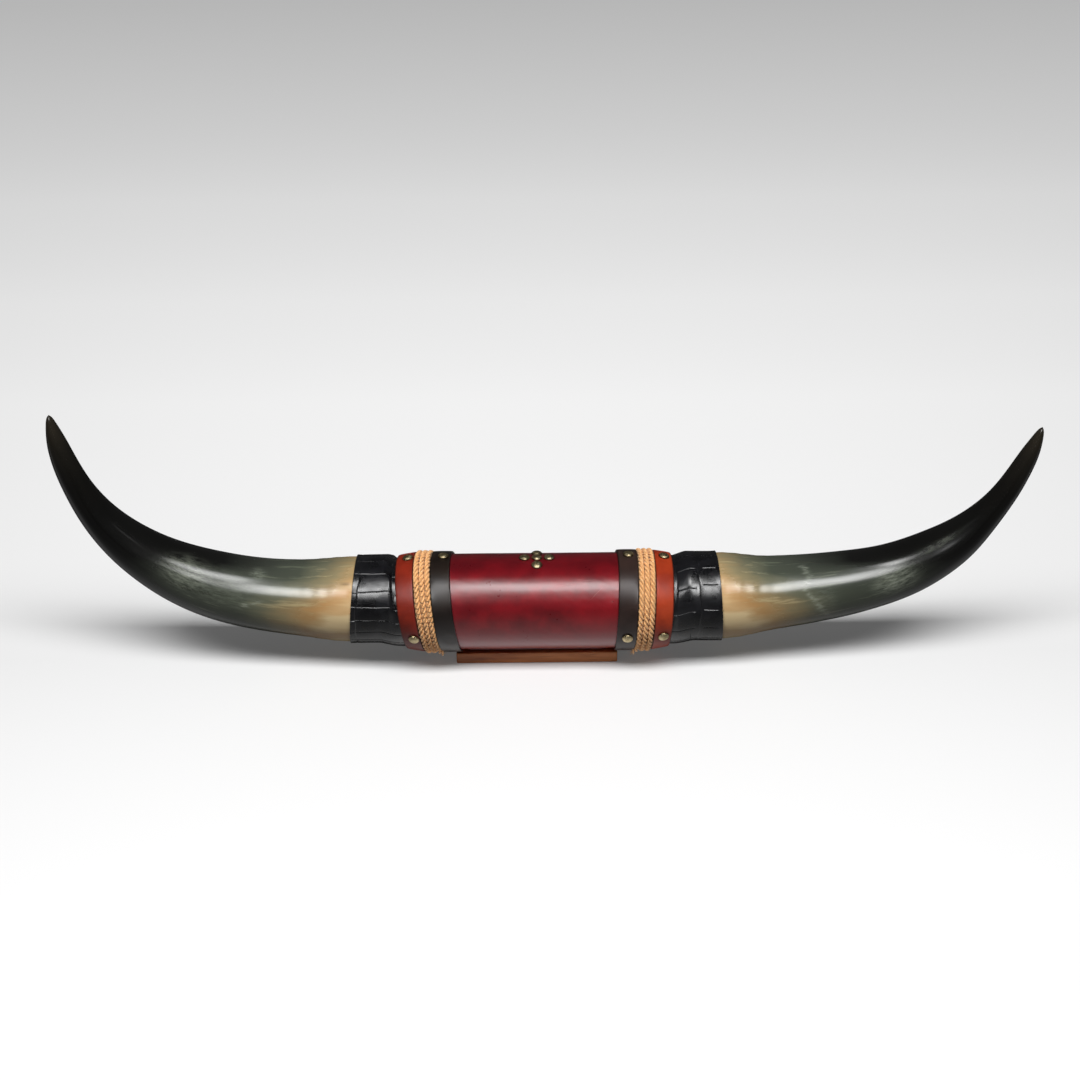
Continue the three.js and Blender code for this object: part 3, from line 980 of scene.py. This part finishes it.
LEFT_SCALES = Scales(
    round_at=179,
    clear_at=(15, 110),
    inner=[84, 61, 36.5, 17, -1, -20, -38],
    outer=[85, 61, 34.5, 18, -1, -21, -38],
    spacing=20.5,
    fade=0,
)
RIGHT_SCALES = Scales(
    round_at=162,
    clear_at=(38, 15),
    inner=[64, 37.5, 7.5, -17, -42],
    outer=[65, 41.5, 10, -17, -42],
    spacing=26.5,
    fade=3,
)
GROOVE_WIDTH, GROOVE_DEPTH, PILLOW_RISE = 0.36, 0.45, 0.18
BRIDGE_START, BRIDGE_END = 139, 161

# How close together a cuff's stations are, near a groove and between grooves
GROOVE_REACH = 2.4
CLOSE_DEGREES, WIDE_DEGREES = 0.26, 1.1
CLOSE_STEP, WIDE_STEP = 0.22, 0.6


def spaced(start, end, places, close, wide):
    """Stations from start to end, closer together within reach of some places."""
    stations = [start]
    while stations[-1] < end:
        near = np.abs(np.asarray(places) - stations[-1]).min() < GROOVE_REACH
        stations.append(stations[-1] + (close if near else wide))
    stations = np.array(stations)
    return start + (stations - start) * (end - start) / (stations[-1] - start)


def whole_turn(angles, spacing):
    """The grooves seen in front, and more at their usual spacing round the rest."""
    spare = 360 - (max(angles) - min(angles))
    count = max(round(spare / spacing), 2)
    return list(angles) + [min(angles) - spare * i / count for i in range(1, count)]


def below(rise):
    """0 on top and 1 underneath, from the sine of the angle round the drum."""
    return fade_out(rise, -0.6, 0.3)


def cuff_shape(side, on_horn):
    """How a cuff is placed, and its outer radius, where it bridges the neck.

    It steps up to the horn on top, sooner in front, and more slowly underneath.
    """
    over_cone = CONE_RADIUS + GAP + CUFF_THICKNESS
    at_start = core_radius(CUFF_START) + GAP + CUFF_THICKNESS
    dipped = smooth_curve(
        [CUFF_START, CONE_END, *side.cuff_dip, CUFF_END],
        [at_start, over_cone, over_cone - 0.5, on_horn, on_horn],
    )
    bridged = smooth_curve(
        [CUFF_START, CONE_END, BRIDGE_END, CUFF_END],
        [at_start, over_cone, on_horn, on_horn],
    )

    def placing(along, across, up):
        points = side.place_leaning(along, across, up)
        rise = up / np.hypot(across, up)
        low, high = side.cuff_rise
        sooner = side.front_rise * fade_out(rise, 0.75, 0.97) * (1 - below(rise))
        high = high + (BRIDGE_END - high) * below(rise)
        low = low + (BRIDGE_START - low) * below(rise)
        gentle = smooth_step(along + sooner, low, high)
        sharp = smooth_step(along, NECK_END, HORN_BASE)
        points[..., 2] += side.lift * (gentle - sharp)
        return points

    def outer(along, degrees):
        low = below(np.sin(np.radians(degrees)))
        return (1 - low) * dipped(along) + low * bridged(along)

    return placing, outer


def groove_map(side, scales, on_horn):
    """A function for how deep a point lies in a groove, 0 to 1, and how far off the nearest is."""
    chances = np.random.default_rng(SEED + side.sign)
    columns = []
    for angles, low, high in (
        (scales.inner, CUFF_START, scales.round_at),
        (scales.outer, scales.round_at, CUFF_END),
    ):
        for angle in whole_turn(angles, scales.spacing):
            columns.append((angle, low, high, chances.uniform(0, 6, 3), chances.uniform(0.6, 1)))

    def grooves(along, degrees):
        wander = 0.9 * np.sin(np.radians(degrees * 3) + 1) + 0.5 * np.sin(np.radians(degrees * 11))
        nearest = np.abs(along - scales.round_at - wander)
        clear, spread = scales.clear_at
        strength = 0.3 + 0.7 * np.exp(-(((degrees - clear) / spread) ** 2))
        deep = strength * np.exp(-((nearest / GROOVE_WIDTH) ** 2))
        for angle, low, high, phase, weight in columns:
            line = angle + 0.5 * np.sin(along / 9 + phase[0]) + 0.12 * np.sin(along / 2.6 + phase[1])
            turn = (degrees - line + 180) % 360 - 180
            off = np.abs(np.radians(turn)) * on_horn
            if scales.fade == 0:
                inside = ((along >= low + wander) & (along <= high + wander)).astype(float)
            else:
                first, last = low + scales.fade, high - scales.fade
                inside = smooth_step(along, first - 1, first + 1) * fade_out(along, last - 1, last + 1)
            off = off + 30 * (1 - inside)
            deep = np.maximum(deep, weight * np.exp(-((off / GROOVE_WIDTH) ** 2)))
            nearest = np.minimum(nearest, off)
        return deep, nearest

    return grooves


def cuff(side, scales):
    on_horn = side.radii[0] + GAP + CUFF_THICKNESS
    placing, outer = cuff_shape(side, on_horn)
    grooves = groove_map(side, scales, on_horn)
    angles = whole_turn(scales.inner, scales.spacing) + whole_turn(scales.outer, scales.spacing)
    angles = [(angle - BOTTOM_START) % 360 + BOTTOM_START for angle in angles]
    degrees = spaced(BOTTOM_START, BOTTOM_END, angles, CLOSE_DEGREES, WIDE_DEGREES)[:-1]
    top = spaced(CUFF_START + 0.6, CUFF_END - 0.6, [scales.round_at], CLOSE_STEP, WIDE_STEP)

    def skin(along, degrees):
        deep, nearest = grooves(along, degrees)
        places = on_surface(along, degrees)
        at_neck = np.exp(-(((along - NECK_END) / 8) ** 2))
        pillow = PILLOW_RISE * (1 - np.exp(-nearest / 2.2))
        wrinkles = 0.04 * waves(places, (30, 12, 12), SEED + 3) * at_neck
        edge_roll = 0.25 * np.exp(-((CUFF_END - along) / 1.6))
        uneven = 0.07 * waves(places, (24, 18, 18), SEED + 5)
        return pillow - GROOVE_DEPTH * deep + wrinkles + uneven + edge_roll

    piece = band(
        f"{side.name}_cuff_scales",
        placing,
        lambda along, degrees: outer(along, degrees) - CUFF_THICKNESS,
        strip_outline(CUFF_START, CUFF_END, CUFF_THICKNESS, 0.55, top),
        degrees,
        BLACK_LEATHER,
        skin,
        # The groove depth also sets the painted shade in the grooves.
        ("groove", lambda along, height, degrees: grooves(along, degrees)[0]),
        closed=True,
    )
    return dress(piece, f"{side.name}_cuff")


cuff(LEFT, LEFT_SCALES)
cuff(RIGHT, RIGHT_SCALES)


# Ropes

STRAND_LAY, STRAND_RADIUS, STRAND_OFFSET = 17.4, 1.34, 1.5
STRANDS, STRAND_SIDES, STEPS_PER_TWIST = 3, 9, 20
YARN_LENGTH, YARN_TURN, YARN_RADIUS = 5, 3.4, 1.6
TAIL_LENGTH, TAIL_INWARDS, TAIL_OUTWARDS = 14, 3.4, 2.4
FRAY_LENGTH, FRAY_HAIRS, HAIR_RADIUS = 7, 26, 0.16


def rope_path(side, degrees, inwards=0.0, outwards=0.0):
    """The rope's centre, an angle in degrees from the bottom towards the front."""
    row = np.floor(degrees / 360 + 0.5)
    into = degrees - row * 360
    step = smooth_step(into, -ROPE_CROSSOVER, ROPE_CROSSOVER)
    along = ROPE_START + ROPE_PITCH * (row - 0.5 + step) - inwards
    radius = CORE_RADIUS + ROPE_LIFT + ROPE_DIAMETER / 2 + outwards
    angle = np.radians(degrees)
    return side.place_leaning(along, -radius * np.sin(angle), -radius * np.cos(angle))


def frames_along(points, outwards):
    """Directions across a path: away from the drum, and sideways."""
    forward = unit(np.gradient(points, axis=0))
    sideways = unit(np.cross(forward, outwards))
    return np.cross(sideways, forward), sideways


def tube(path, radius, sides):
    """Rings of points round a path, with directions across of their own."""
    forward = unit(np.gradient(path, axis=0))
    helper = np.where(np.abs(forward[:, 2:]) > 0.9, [[1.0, 0, 0]], [[0, 0, 1.0]])
    first = unit(np.cross(forward, helper))
    second = np.cross(forward, first)
    angle = np.linspace(0, 2 * np.pi, sides, endpoint=False)[None, :, None]
    ring = first[:, None] * np.cos(angle) + second[:, None] * np.sin(angle)
    return path[:, None] + ring * np.asarray(radius).reshape(-1, 1, 1)


def rope(side):
    """Three strands laid together and wound round the drum, frayed at the inner end."""
    turn = np.linspace(ROPE_CROSSOVER + 6, ROPE_ROWS * 360 - ROPE_CROSSOVER, 4000)
    strides = np.linalg.norm(np.diff(rope_path(side, turn), axis=0), axis=1)
    distance = np.concatenate([[0], np.cumsum(strides)])
    length = distance[-1]
    at = np.linspace(0, length, int(length / STRAND_LAY * STEPS_PER_TWIST) + 1)
    degrees = np.interp(at, distance, turn)
    tail = np.clip(1 - at / TAIL_LENGTH, 0, 1) ** 2
    centre = rope_path(side, degrees, TAIL_INWARDS * tail, TAIL_OUTWARDS * tail)
    up, sideways = frames_along(centre, (centre - [0, 0, AXIS_HEIGHT]) * [0, 1, 1])
    chances = np.random.default_rng(SEED + 20 + side.sign)
    loosened = fade_out(at, 0, FRAY_LENGTH)
    points, quads, caps, fibre, depth = [], [], [], [], []

    def add(rings, coordinates, depths):
        """Adds a tube, closed at both ends, with its fibre's coordinates and its depth."""
        first = sum(len(part) for part in points)
        rows, sides = rings.shape[:2]
        points.append(rings.reshape(-1, 3))
        quads.append(grid_quads(rows, sides) + first)
        caps.extend(cap + first for cap in end_caps(rows, sides))
        fibre.append(coordinates.reshape(-1, 3))
        depth.append(depths.ravel())

    for strand in range(STRANDS):
        phase = 2 * np.pi * (at / STRAND_LAY * -side.sign + strand / STRANDS)
        offset = STRAND_OFFSET * (1 + 0.7 * loosened)
        across = up * np.cos(phase)[:, None] + sideways * np.sin(phase)[:, None]
        thick = STRAND_RADIUS * (1 + 0.05 * np.sin(at / 3.1 + strand)) * (1 - 0.35 * loosened)
        rings = tube(centre + offset[:, None] * across, thick, STRAND_SIDES)
        around = np.linspace(0, 2 * np.pi, STRAND_SIDES, endpoint=False)[None]
        yarn = around + at[:, None] / YARN_TURN
        coordinates = [
            at[:, None] / YARN_LENGTH + 0 * yarn + 7 * strand,
            np.cos(yarn) * YARN_RADIUS,
            np.sin(yarn) * YARN_RADIUS,
        ]
        from_axis = np.linalg.norm(rings - centre[:, None], axis=2)
        # The depth is 1 near the rope's axis, down between the strands, where the colour gets painted
        # shade.
        add(rings, np.stack(coordinates, -1), fade_out(from_axis, 1.5, 2.6))

    outwards = unit(centre[0] - centre[6])
    steps = np.linspace(0, 1, 6)[:, None]
    for _ in range(FRAY_HAIRS):
        start = chances.integers(0, 6)
        reach = chances.uniform(3, FRAY_LENGTH)
        spread = chances.normal(0, 0.28, 3)
        root = centre[start] + up[start] * chances.uniform(-1.6, 1.6)
        root = root + sideways[start] * chances.uniform(-1.6, 1.6)
        path = root + reach * (outwards * steps + spread * steps**2)
        rings = tube(path, HAIR_RADIUS * (1 - 0.7 * steps), 4)
        coordinates = np.zeros(rings.shape) + chances.uniform(0, 9, 3)
        add(rings, coordinates, np.zeros(rings.shape[:2]))

    attributes = {"fibre": np.concatenate(fibre), "depth": np.concatenate(depth)}
    piece = new_piece(
        f"{side.name}_rope_strands",
        np.concatenate(points),
        np.concatenate(quads),
        ROPE_FIBRE,
        caps,
        attributes,
    )
    return dress(piece, f"{side.name}_rope")


for side in SIDES:
    rope(side)


# Turned parts: tacks and screws

# The radius of a turned shape's point, and the height of a tack's lip
POINT, TACK_LIP = 0.02, 0.25


def turned(profile, sides, matrix, name, material, rim=None):
    """A profile of (radius, height) points turned round Z, then moved by a matrix, in mm."""
    radius, height = np.array(profile, float).T
    angle = np.linspace(0, 2 * np.pi, sides, endpoint=False)
    points = np.stack([
        radius[:, None] * np.cos(angle),
        radius[:, None] * np.sin(angle),
        height[:, None] + 0 * angle,
    ], -1)
    points = points @ np.array(matrix.to_3x3()).T + np.array(matrix.translation)
    rows = len(profile)
    attributes = {} if rim is None else {"rim": np.repeat(rim, sides)}
    quads, caps = grid_quads(rows, sides), end_caps(rows, sides)
    return new_piece(name, points, quads, material, caps, attributes)


def surface_matrix(side, along, degrees, surface):
    """Stands something square on a layer's outer surface."""
    def at(out, turn):
        across, up = on_round(surface(out), math.radians(turn))
        return Vector(side.place_leaning(np.array(float(out)), across, up).reshape(3))

    outwards = (at(along + 1, degrees) - at(along - 1, degrees)).cross(
        at(along, degrees + 1) - at(along, degrees - 1)
    )
    outwards = (outwards * side.sign).normalized()
    turn = outwards.to_track_quat("Z", "Y").to_matrix().to_4x4()
    return Matrix.Translation(at(along, degrees)) @ turn


def tack(node, side, along, degrees, surface):
    """A domed head with a rolled lip, on a shank driven into the wood."""
    dome = []
    for bend in np.radians(np.linspace(90, 0, 14)):
        rise = TACK_LIP + (TACK_DOME - TACK_LIP) * math.sin(bend) ** 1.15
        dome.append((TACK_HEAD * math.cos(bend), rise))
    dome[0] = (POINT, TACK_DOME)
    lip = [(TACK_HEAD + 0.02, 0.1), (TACK_HEAD - 0.25, -0.12), (TACK_SHANK + 0.5, -0.15)]
    shank = [(TACK_SHANK, -0.4), (TACK_SHANK, -13), (POINT, -15)]
    profile = dome + lip + shank
    radii, heights = np.array(profile).T
    rim = smooth_step(radii, TACK_HEAD * 0.86, TACK_HEAD) * (heights > -0.3)
    matrix = surface_matrix(side, along, degrees, surface)
    piece = turned(profile, 40, matrix, f"{node}_dome", BRASS, rim)
    return dress(piece, node)


for side in SIDES:
    for strap_name, sizes, surface in (
        ("dark_strap", DARK_STRAP, dark_strap_radius),
        ("tan_strap", TAN_STRAP, tan_strap_radius),
    ):
        middle = (sizes["start"] + sizes["end"]) / 2 + side.tack_shift
        for spot, degrees in TACK_ANGLES.items():
            if (side.name, strap_name, spot) != ("left", "dark_strap", "front"):
                tack(f"{side.name}_{strap_name}_tack_{spot}", side, middle, degrees, surface)

for spot, steps, turns in (
    ("middle", 0, 0),
    ("left", -1, 0),
    ("right", 1, 0),
    ("front", 0, -1),
    ("back", 0, 1),
):
    along = CROSS_OFFSET + steps * CROSS_SPACING
    side = LEFT if along < 0 else RIGHT
    tack(f"cross_tack_{spot}", side, abs(along), 90 + turns * CROSS_ANGLE, wrap_radius)


def cut_away(piece, cutters):
    """Cuts other objects out of a piece for good, and removes them."""
    for cutter in cutters:
        cut = piece.modifiers.new("cut", "BOOLEAN")
        cut.operation = "DIFFERENCE"
        cut.solver = "EXACT"
        cut.object = cutter
    bpy.context.view_layer.update()
    shaped = piece.evaluated_get(bpy.context.evaluated_depsgraph_get())
    mesh = bpy.data.meshes.new_from_object(shaped)
    piece.modifiers.clear()
    piece.data = mesh
    for cutter in cutters:
        bpy.data.objects.remove(cutter)
    return piece


def upright(x, z):
    return Matrix.Translation((x, 0, z))


def block(name, size, centre, material, turn=0.0):
    """A plain box, used only to cut with."""
    half = np.array(size) / 2
    corners = np.array([(x, y, z) for z in (-1, 1) for y in (-1, 1) for x in (-1, 1)]) * half
    corners = corners @ np.array(Matrix.Rotation(turn, 3, "Z")).T + np.array(centre)
    sides = [[0, 2, 3, 1], [4, 5, 7, 6], [0, 1, 5, 4], [2, 6, 7, 3], [0, 4, 6, 2], [1, 3, 7, 5]]
    return new_piece(name, corners, np.array(sides), material)


SCREW_RIM, SCREW_HEAD_DEPTH, SCREW_LENGTH = 0.6, 2.6, 34
THREAD_STEPS, THREAD_STEP, THREAD_DEPTH = 44, 0.65, 0.45


def screw(side):
    """A countersunk screw, head down, with a cross recess."""
    x = side.sign * SCREW_ALONG
    node = f"{side.name}_board_screw"
    under_head = SCREW_RIM + SCREW_HEAD_DEPTH
    thread = []
    for i in range(THREAD_STEPS):
        thread.append((SCREW_SHANK - THREAD_DEPTH * (i % 2), under_head + 1 + i * THREAD_STEP))
    profile = [(POINT, 0), (SCREW_HEAD - 0.2, 0), (SCREW_HEAD, 0.2), (SCREW_HEAD, SCREW_RIM)]
    profile += [(SCREW_SHANK, under_head), *thread, (POINT, SCREW_LENGTH + 3)]
    piece = turned(profile, 40, upright(x, SCREW_INSET), f"{node}_head", STEEL)
    recess = [
        block("slot", (5, 1.1, 2.4), (x, 0, SCREW_INSET), STEEL, math.radians(30 + turn))
        for turn in (0, 90)
    ]
    cut_away(piece, recess)
    return dress(piece, node)


BOARD_ROUNDING, BOARD_STEPS, BOARD_UNEVEN = 1.4, 40, 0.12


def board():
    """A straight plank with softened edges and countersunk holes from below."""
    length, depth, height = BOARD
    bend = np.radians(np.linspace(0, 90, 4))
    quarter = np.stack([np.sin(bend), np.cos(bend)], -1) * BOARD_ROUNDING
    half_depth, half_height = depth / 2 - BOARD_ROUNDING, height / 2 - BOARD_ROUNDING
    outline = []
    for turn, (y, z) in enumerate([
        (half_depth, half_height),
        (half_depth, -half_height),
        (-half_depth, -half_height),
        (-half_depth, half_height),
    ]):
        angle = -turn * np.pi / 2
        spin = np.array([[np.cos(angle), -np.sin(angle)], [np.sin(angle), np.cos(angle)]])
        corner = quarter @ spin.T + (y, z)
        outline.append(corner)
    outline = np.concatenate(outline)
    ends_at = length / 2 - BOARD_ROUNDING * (1 - np.sin(bend))
    insets = BOARD_ROUNDING * (1 - np.cos(bend))
    straight = np.linspace(-length / 2 + 6, length / 2 - 6, BOARD_STEPS)
    stations = np.concatenate([-ends_at[::-1], straight, ends_at])
    inset = np.concatenate([insets[::-1], np.zeros(BOARD_STEPS), insets])
    shrink = np.maximum(1 - inset[:, None, None] / np.array([depth / 2, height / 2]), 0)
    section = outline[None] * shrink
    x = np.broadcast_to(stations[:, None], section.shape[:2])
    points = np.stack([x, section[..., 0], section[..., 1] + height / 2], -1)
    points[..., 1] += BOARD_UNEVEN * waves(points, (60, 30, 30), SEED + 9)
    quads = grid_quads(len(stations), len(outline))
    caps = end_caps(len(stations), len(outline))
    piece = new_piece("mounting_board_plank", points, quads, BOARD_WOOD, caps)
    profile = [
        (POINT, -4),
        (SCREW_HEAD + GAP, -4),
        (SCREW_HEAD + GAP, SCREW_RIM),
        (SCREW_SHANK + GAP, SCREW_RIM + SCREW_HEAD_DEPTH),
        (SCREW_SHANK + GAP, 20),
        (POINT, 20),
    ]
    holes = []
    for side in SIDES:
        matrix = upright(side.sign * SCREW_ALONG, SCREW_INSET)
        holes.append(turned(profile, 32, matrix, "hole", BOARD_WOOD))
    cut_away(piece, holes)
    return dress(piece, "mounting_board")


for side in SIDES:
    screw(side)
board()

core = frame["nodes"]["wood_core"]
core.data.materials.clear()
core.data.materials.append(CORE_WOOD)


# Floor, lights and camera

# What the floor sends to the camera, by how far behind the object it is (in metres), and how
# much of that the object itself gets back, as from a small white table in a dark room
FLOOR_AT = [0.0, 0.45, 0.74, 1.24, 2.0, 3.2, 5.7]
FLOOR_LEVELS = [0.7, 0.82, 0.82, 0.8, 0.8, 0.7, 0.7]
FLOOR_GLOW = [0.085, 0.18, 0.3, 0.42, 0.48, 0.48, 0.43]
FLOOR_REACH, FLOOR_SIZE, FLOOR_DROP = 6.0, 24, 0.0003
TABLE_AT = [0.0, 0.05, 0.085, 0.13, 0.2, 0.32, 1.0]
TABLE_RETURN = [0.66, 0.6, 0.34, 0.26, 0.18, 0.1, 0.1]
TABLE_ENDS, TABLE_BESIDE = (0.11, 0.18), 0.38


def floor():
    look = Look("pale_floor", roughness=0.8)
    back = look.part_of(look.position(), "Y")
    from_middle = look.math("ABSOLUTE", look.part_of(look.position(), "X"))

    def fading(distance, stations, levels):
        place = look.math("DIVIDE", distance, FLOOR_REACH)
        stops = [(at / FLOOR_REACH, (*[level] * 3, 1)) for at, level in zip(stations, levels)]
        return look.ramp(place, stops)

    beside = look.levels(from_middle, *TABLE_ENDS, 1.0, TABLE_BESIDE)
    in_depth = fading(look.math("ABSOLUTE", back), TABLE_AT, TABLE_RETURN)
    returned = look.math("MULTIPLY", beside, in_depth)
    seen = look.node("ShaderNodeLightPath").outputs["Is Camera Ray"]
    material = look.finish(look.mix(seen, returned, fading(back, FLOOR_AT, FLOOR_LEVELS)))
    glow = look.math("MULTIPLY", seen, fading(back, FLOOR_AT, FLOOR_GLOW))
    for socket, value in (
        ("Specular IOR Level", 0.0),
        ("Emission Color", glow),
        ("Emission Strength", 1.0),
    ):
        look.put(look.shader.inputs[socket], value)
    bpy.ops.mesh.primitive_plane_add(size=FLOOR_SIZE, location=(0, 0, -FLOOR_DROP))
    plane = bpy.context.object
    plane.name = "studio_floor"
    plane.data.materials.append(material)


def softbox(name, elevation, azimuth, distance, size, power, unseen, grid=180, aim=0.0):
    """An area light in front of the drum, aimed at it or at a point beside it.

    The grid is how wide it shines, in degrees, and unseen is the kind of ray it is hidden from.
    """
    data = bpy.data.lights.new(name, "AREA")
    data.shape = "RECTANGLE"
    data.size, data.size_y = size
    data.energy = power
    data.spread = math.radians(grid)
    lamp = bpy.data.objects.new(name, data)
    tilt, turn = math.radians(elevation), math.radians(azimuth)
    back = Vector((
        math.sin(turn) * math.cos(tilt),
        -math.cos(turn) * math.cos(tilt),
        math.sin(tilt),
    ))
    drum = Vector((0, 0, AXIS_HEIGHT * MM))
    lamp.location = drum + back * distance
    away = lamp.location - drum - Vector((aim, 0, 0))
    lamp.rotation_euler = away.to_track_quat("Z", "Y").to_euler()
    for kind in ("camera", unseen):
        setattr(lamp, f"visible_{kind}", False)
    bpy.context.collection.objects.link(lamp)


def world(level):
    surroundings = bpy.data.worlds.new("studio")
    bpy.context.scene.world = surroundings
    surroundings.use_nodes = True
    background = surroundings.node_tree.nodes["Background"]
    background.inputs["Color"].default_value = (level, level, level, 1)
    background.inputs["Strength"].default_value = 1.0


def camera():
    """The photograph's viewpoint: its distance, height, roll and the drum's place in it."""
    tilt = CAMERA_ELEVATION
    middle = PICTURE_PX / 2
    position = Vector((0, -math.cos(tilt), math.sin(tilt))) * CAMERA_DISTANCE
    to_drum = -position.normalized()
    right = Vector((1, 0, 0))
    up = right.cross(to_drum)
    drop = math.atan((DRUM_CENTRE_PX[1] - middle) / FOCAL_PX)
    forward = to_drum * math.cos(drop) + up * math.sin(drop)
    up = right.cross(forward)
    swing = math.atan((middle - DRUM_CENTRE_PX[0]) / FOCAL_PX)
    forward = forward * math.cos(swing) + right * math.sin(swing)
    right = forward.cross(up)
    rolled_right = right * math.cos(CAMERA_ROLL) - up * math.sin(CAMERA_ROLL)
    rolled_up = right * math.sin(CAMERA_ROLL) + up * math.cos(CAMERA_ROLL)
    data = bpy.data.cameras.new("camera")
    data.sensor_width = SENSOR_WIDTH
    data.lens = SENSOR_WIDTH * FOCAL_PX / PICTURE_PX
    data.clip_end = 100
    viewer = bpy.data.objects.new("camera", data)
    axes = Matrix((rolled_right, rolled_up, -forward)).transposed().to_4x4()
    viewer.matrix_world = Matrix.Translation(position + Vector((0, 0, AXIS_HEIGHT * MM))) @ axes
    bpy.context.collection.objects.link(viewer)
    bpy.context.scene.camera = viewer


floor()
softbox("main_softbox", 62, 0, 2.0, (0.56, 0.8), 0.47, "diffuse", grid=28)
softbox("diffuse_softbox", 63, 0, 2.0, (2.6, 0.7), 67, "glossy")
for side in SIDES:
    turn, aim = 31 * side.sign, 0.3 * side.sign
    softbox(f"{side.name}_softbox", 40, turn, 1.4, (0.5, 0.62), 0.6, "diffuse", grid=40, aim=aim)
world(0.035)
camera()
bpy.context.scene.view_settings.view_transform = "Standard"

bpy.context.view_layer.update()
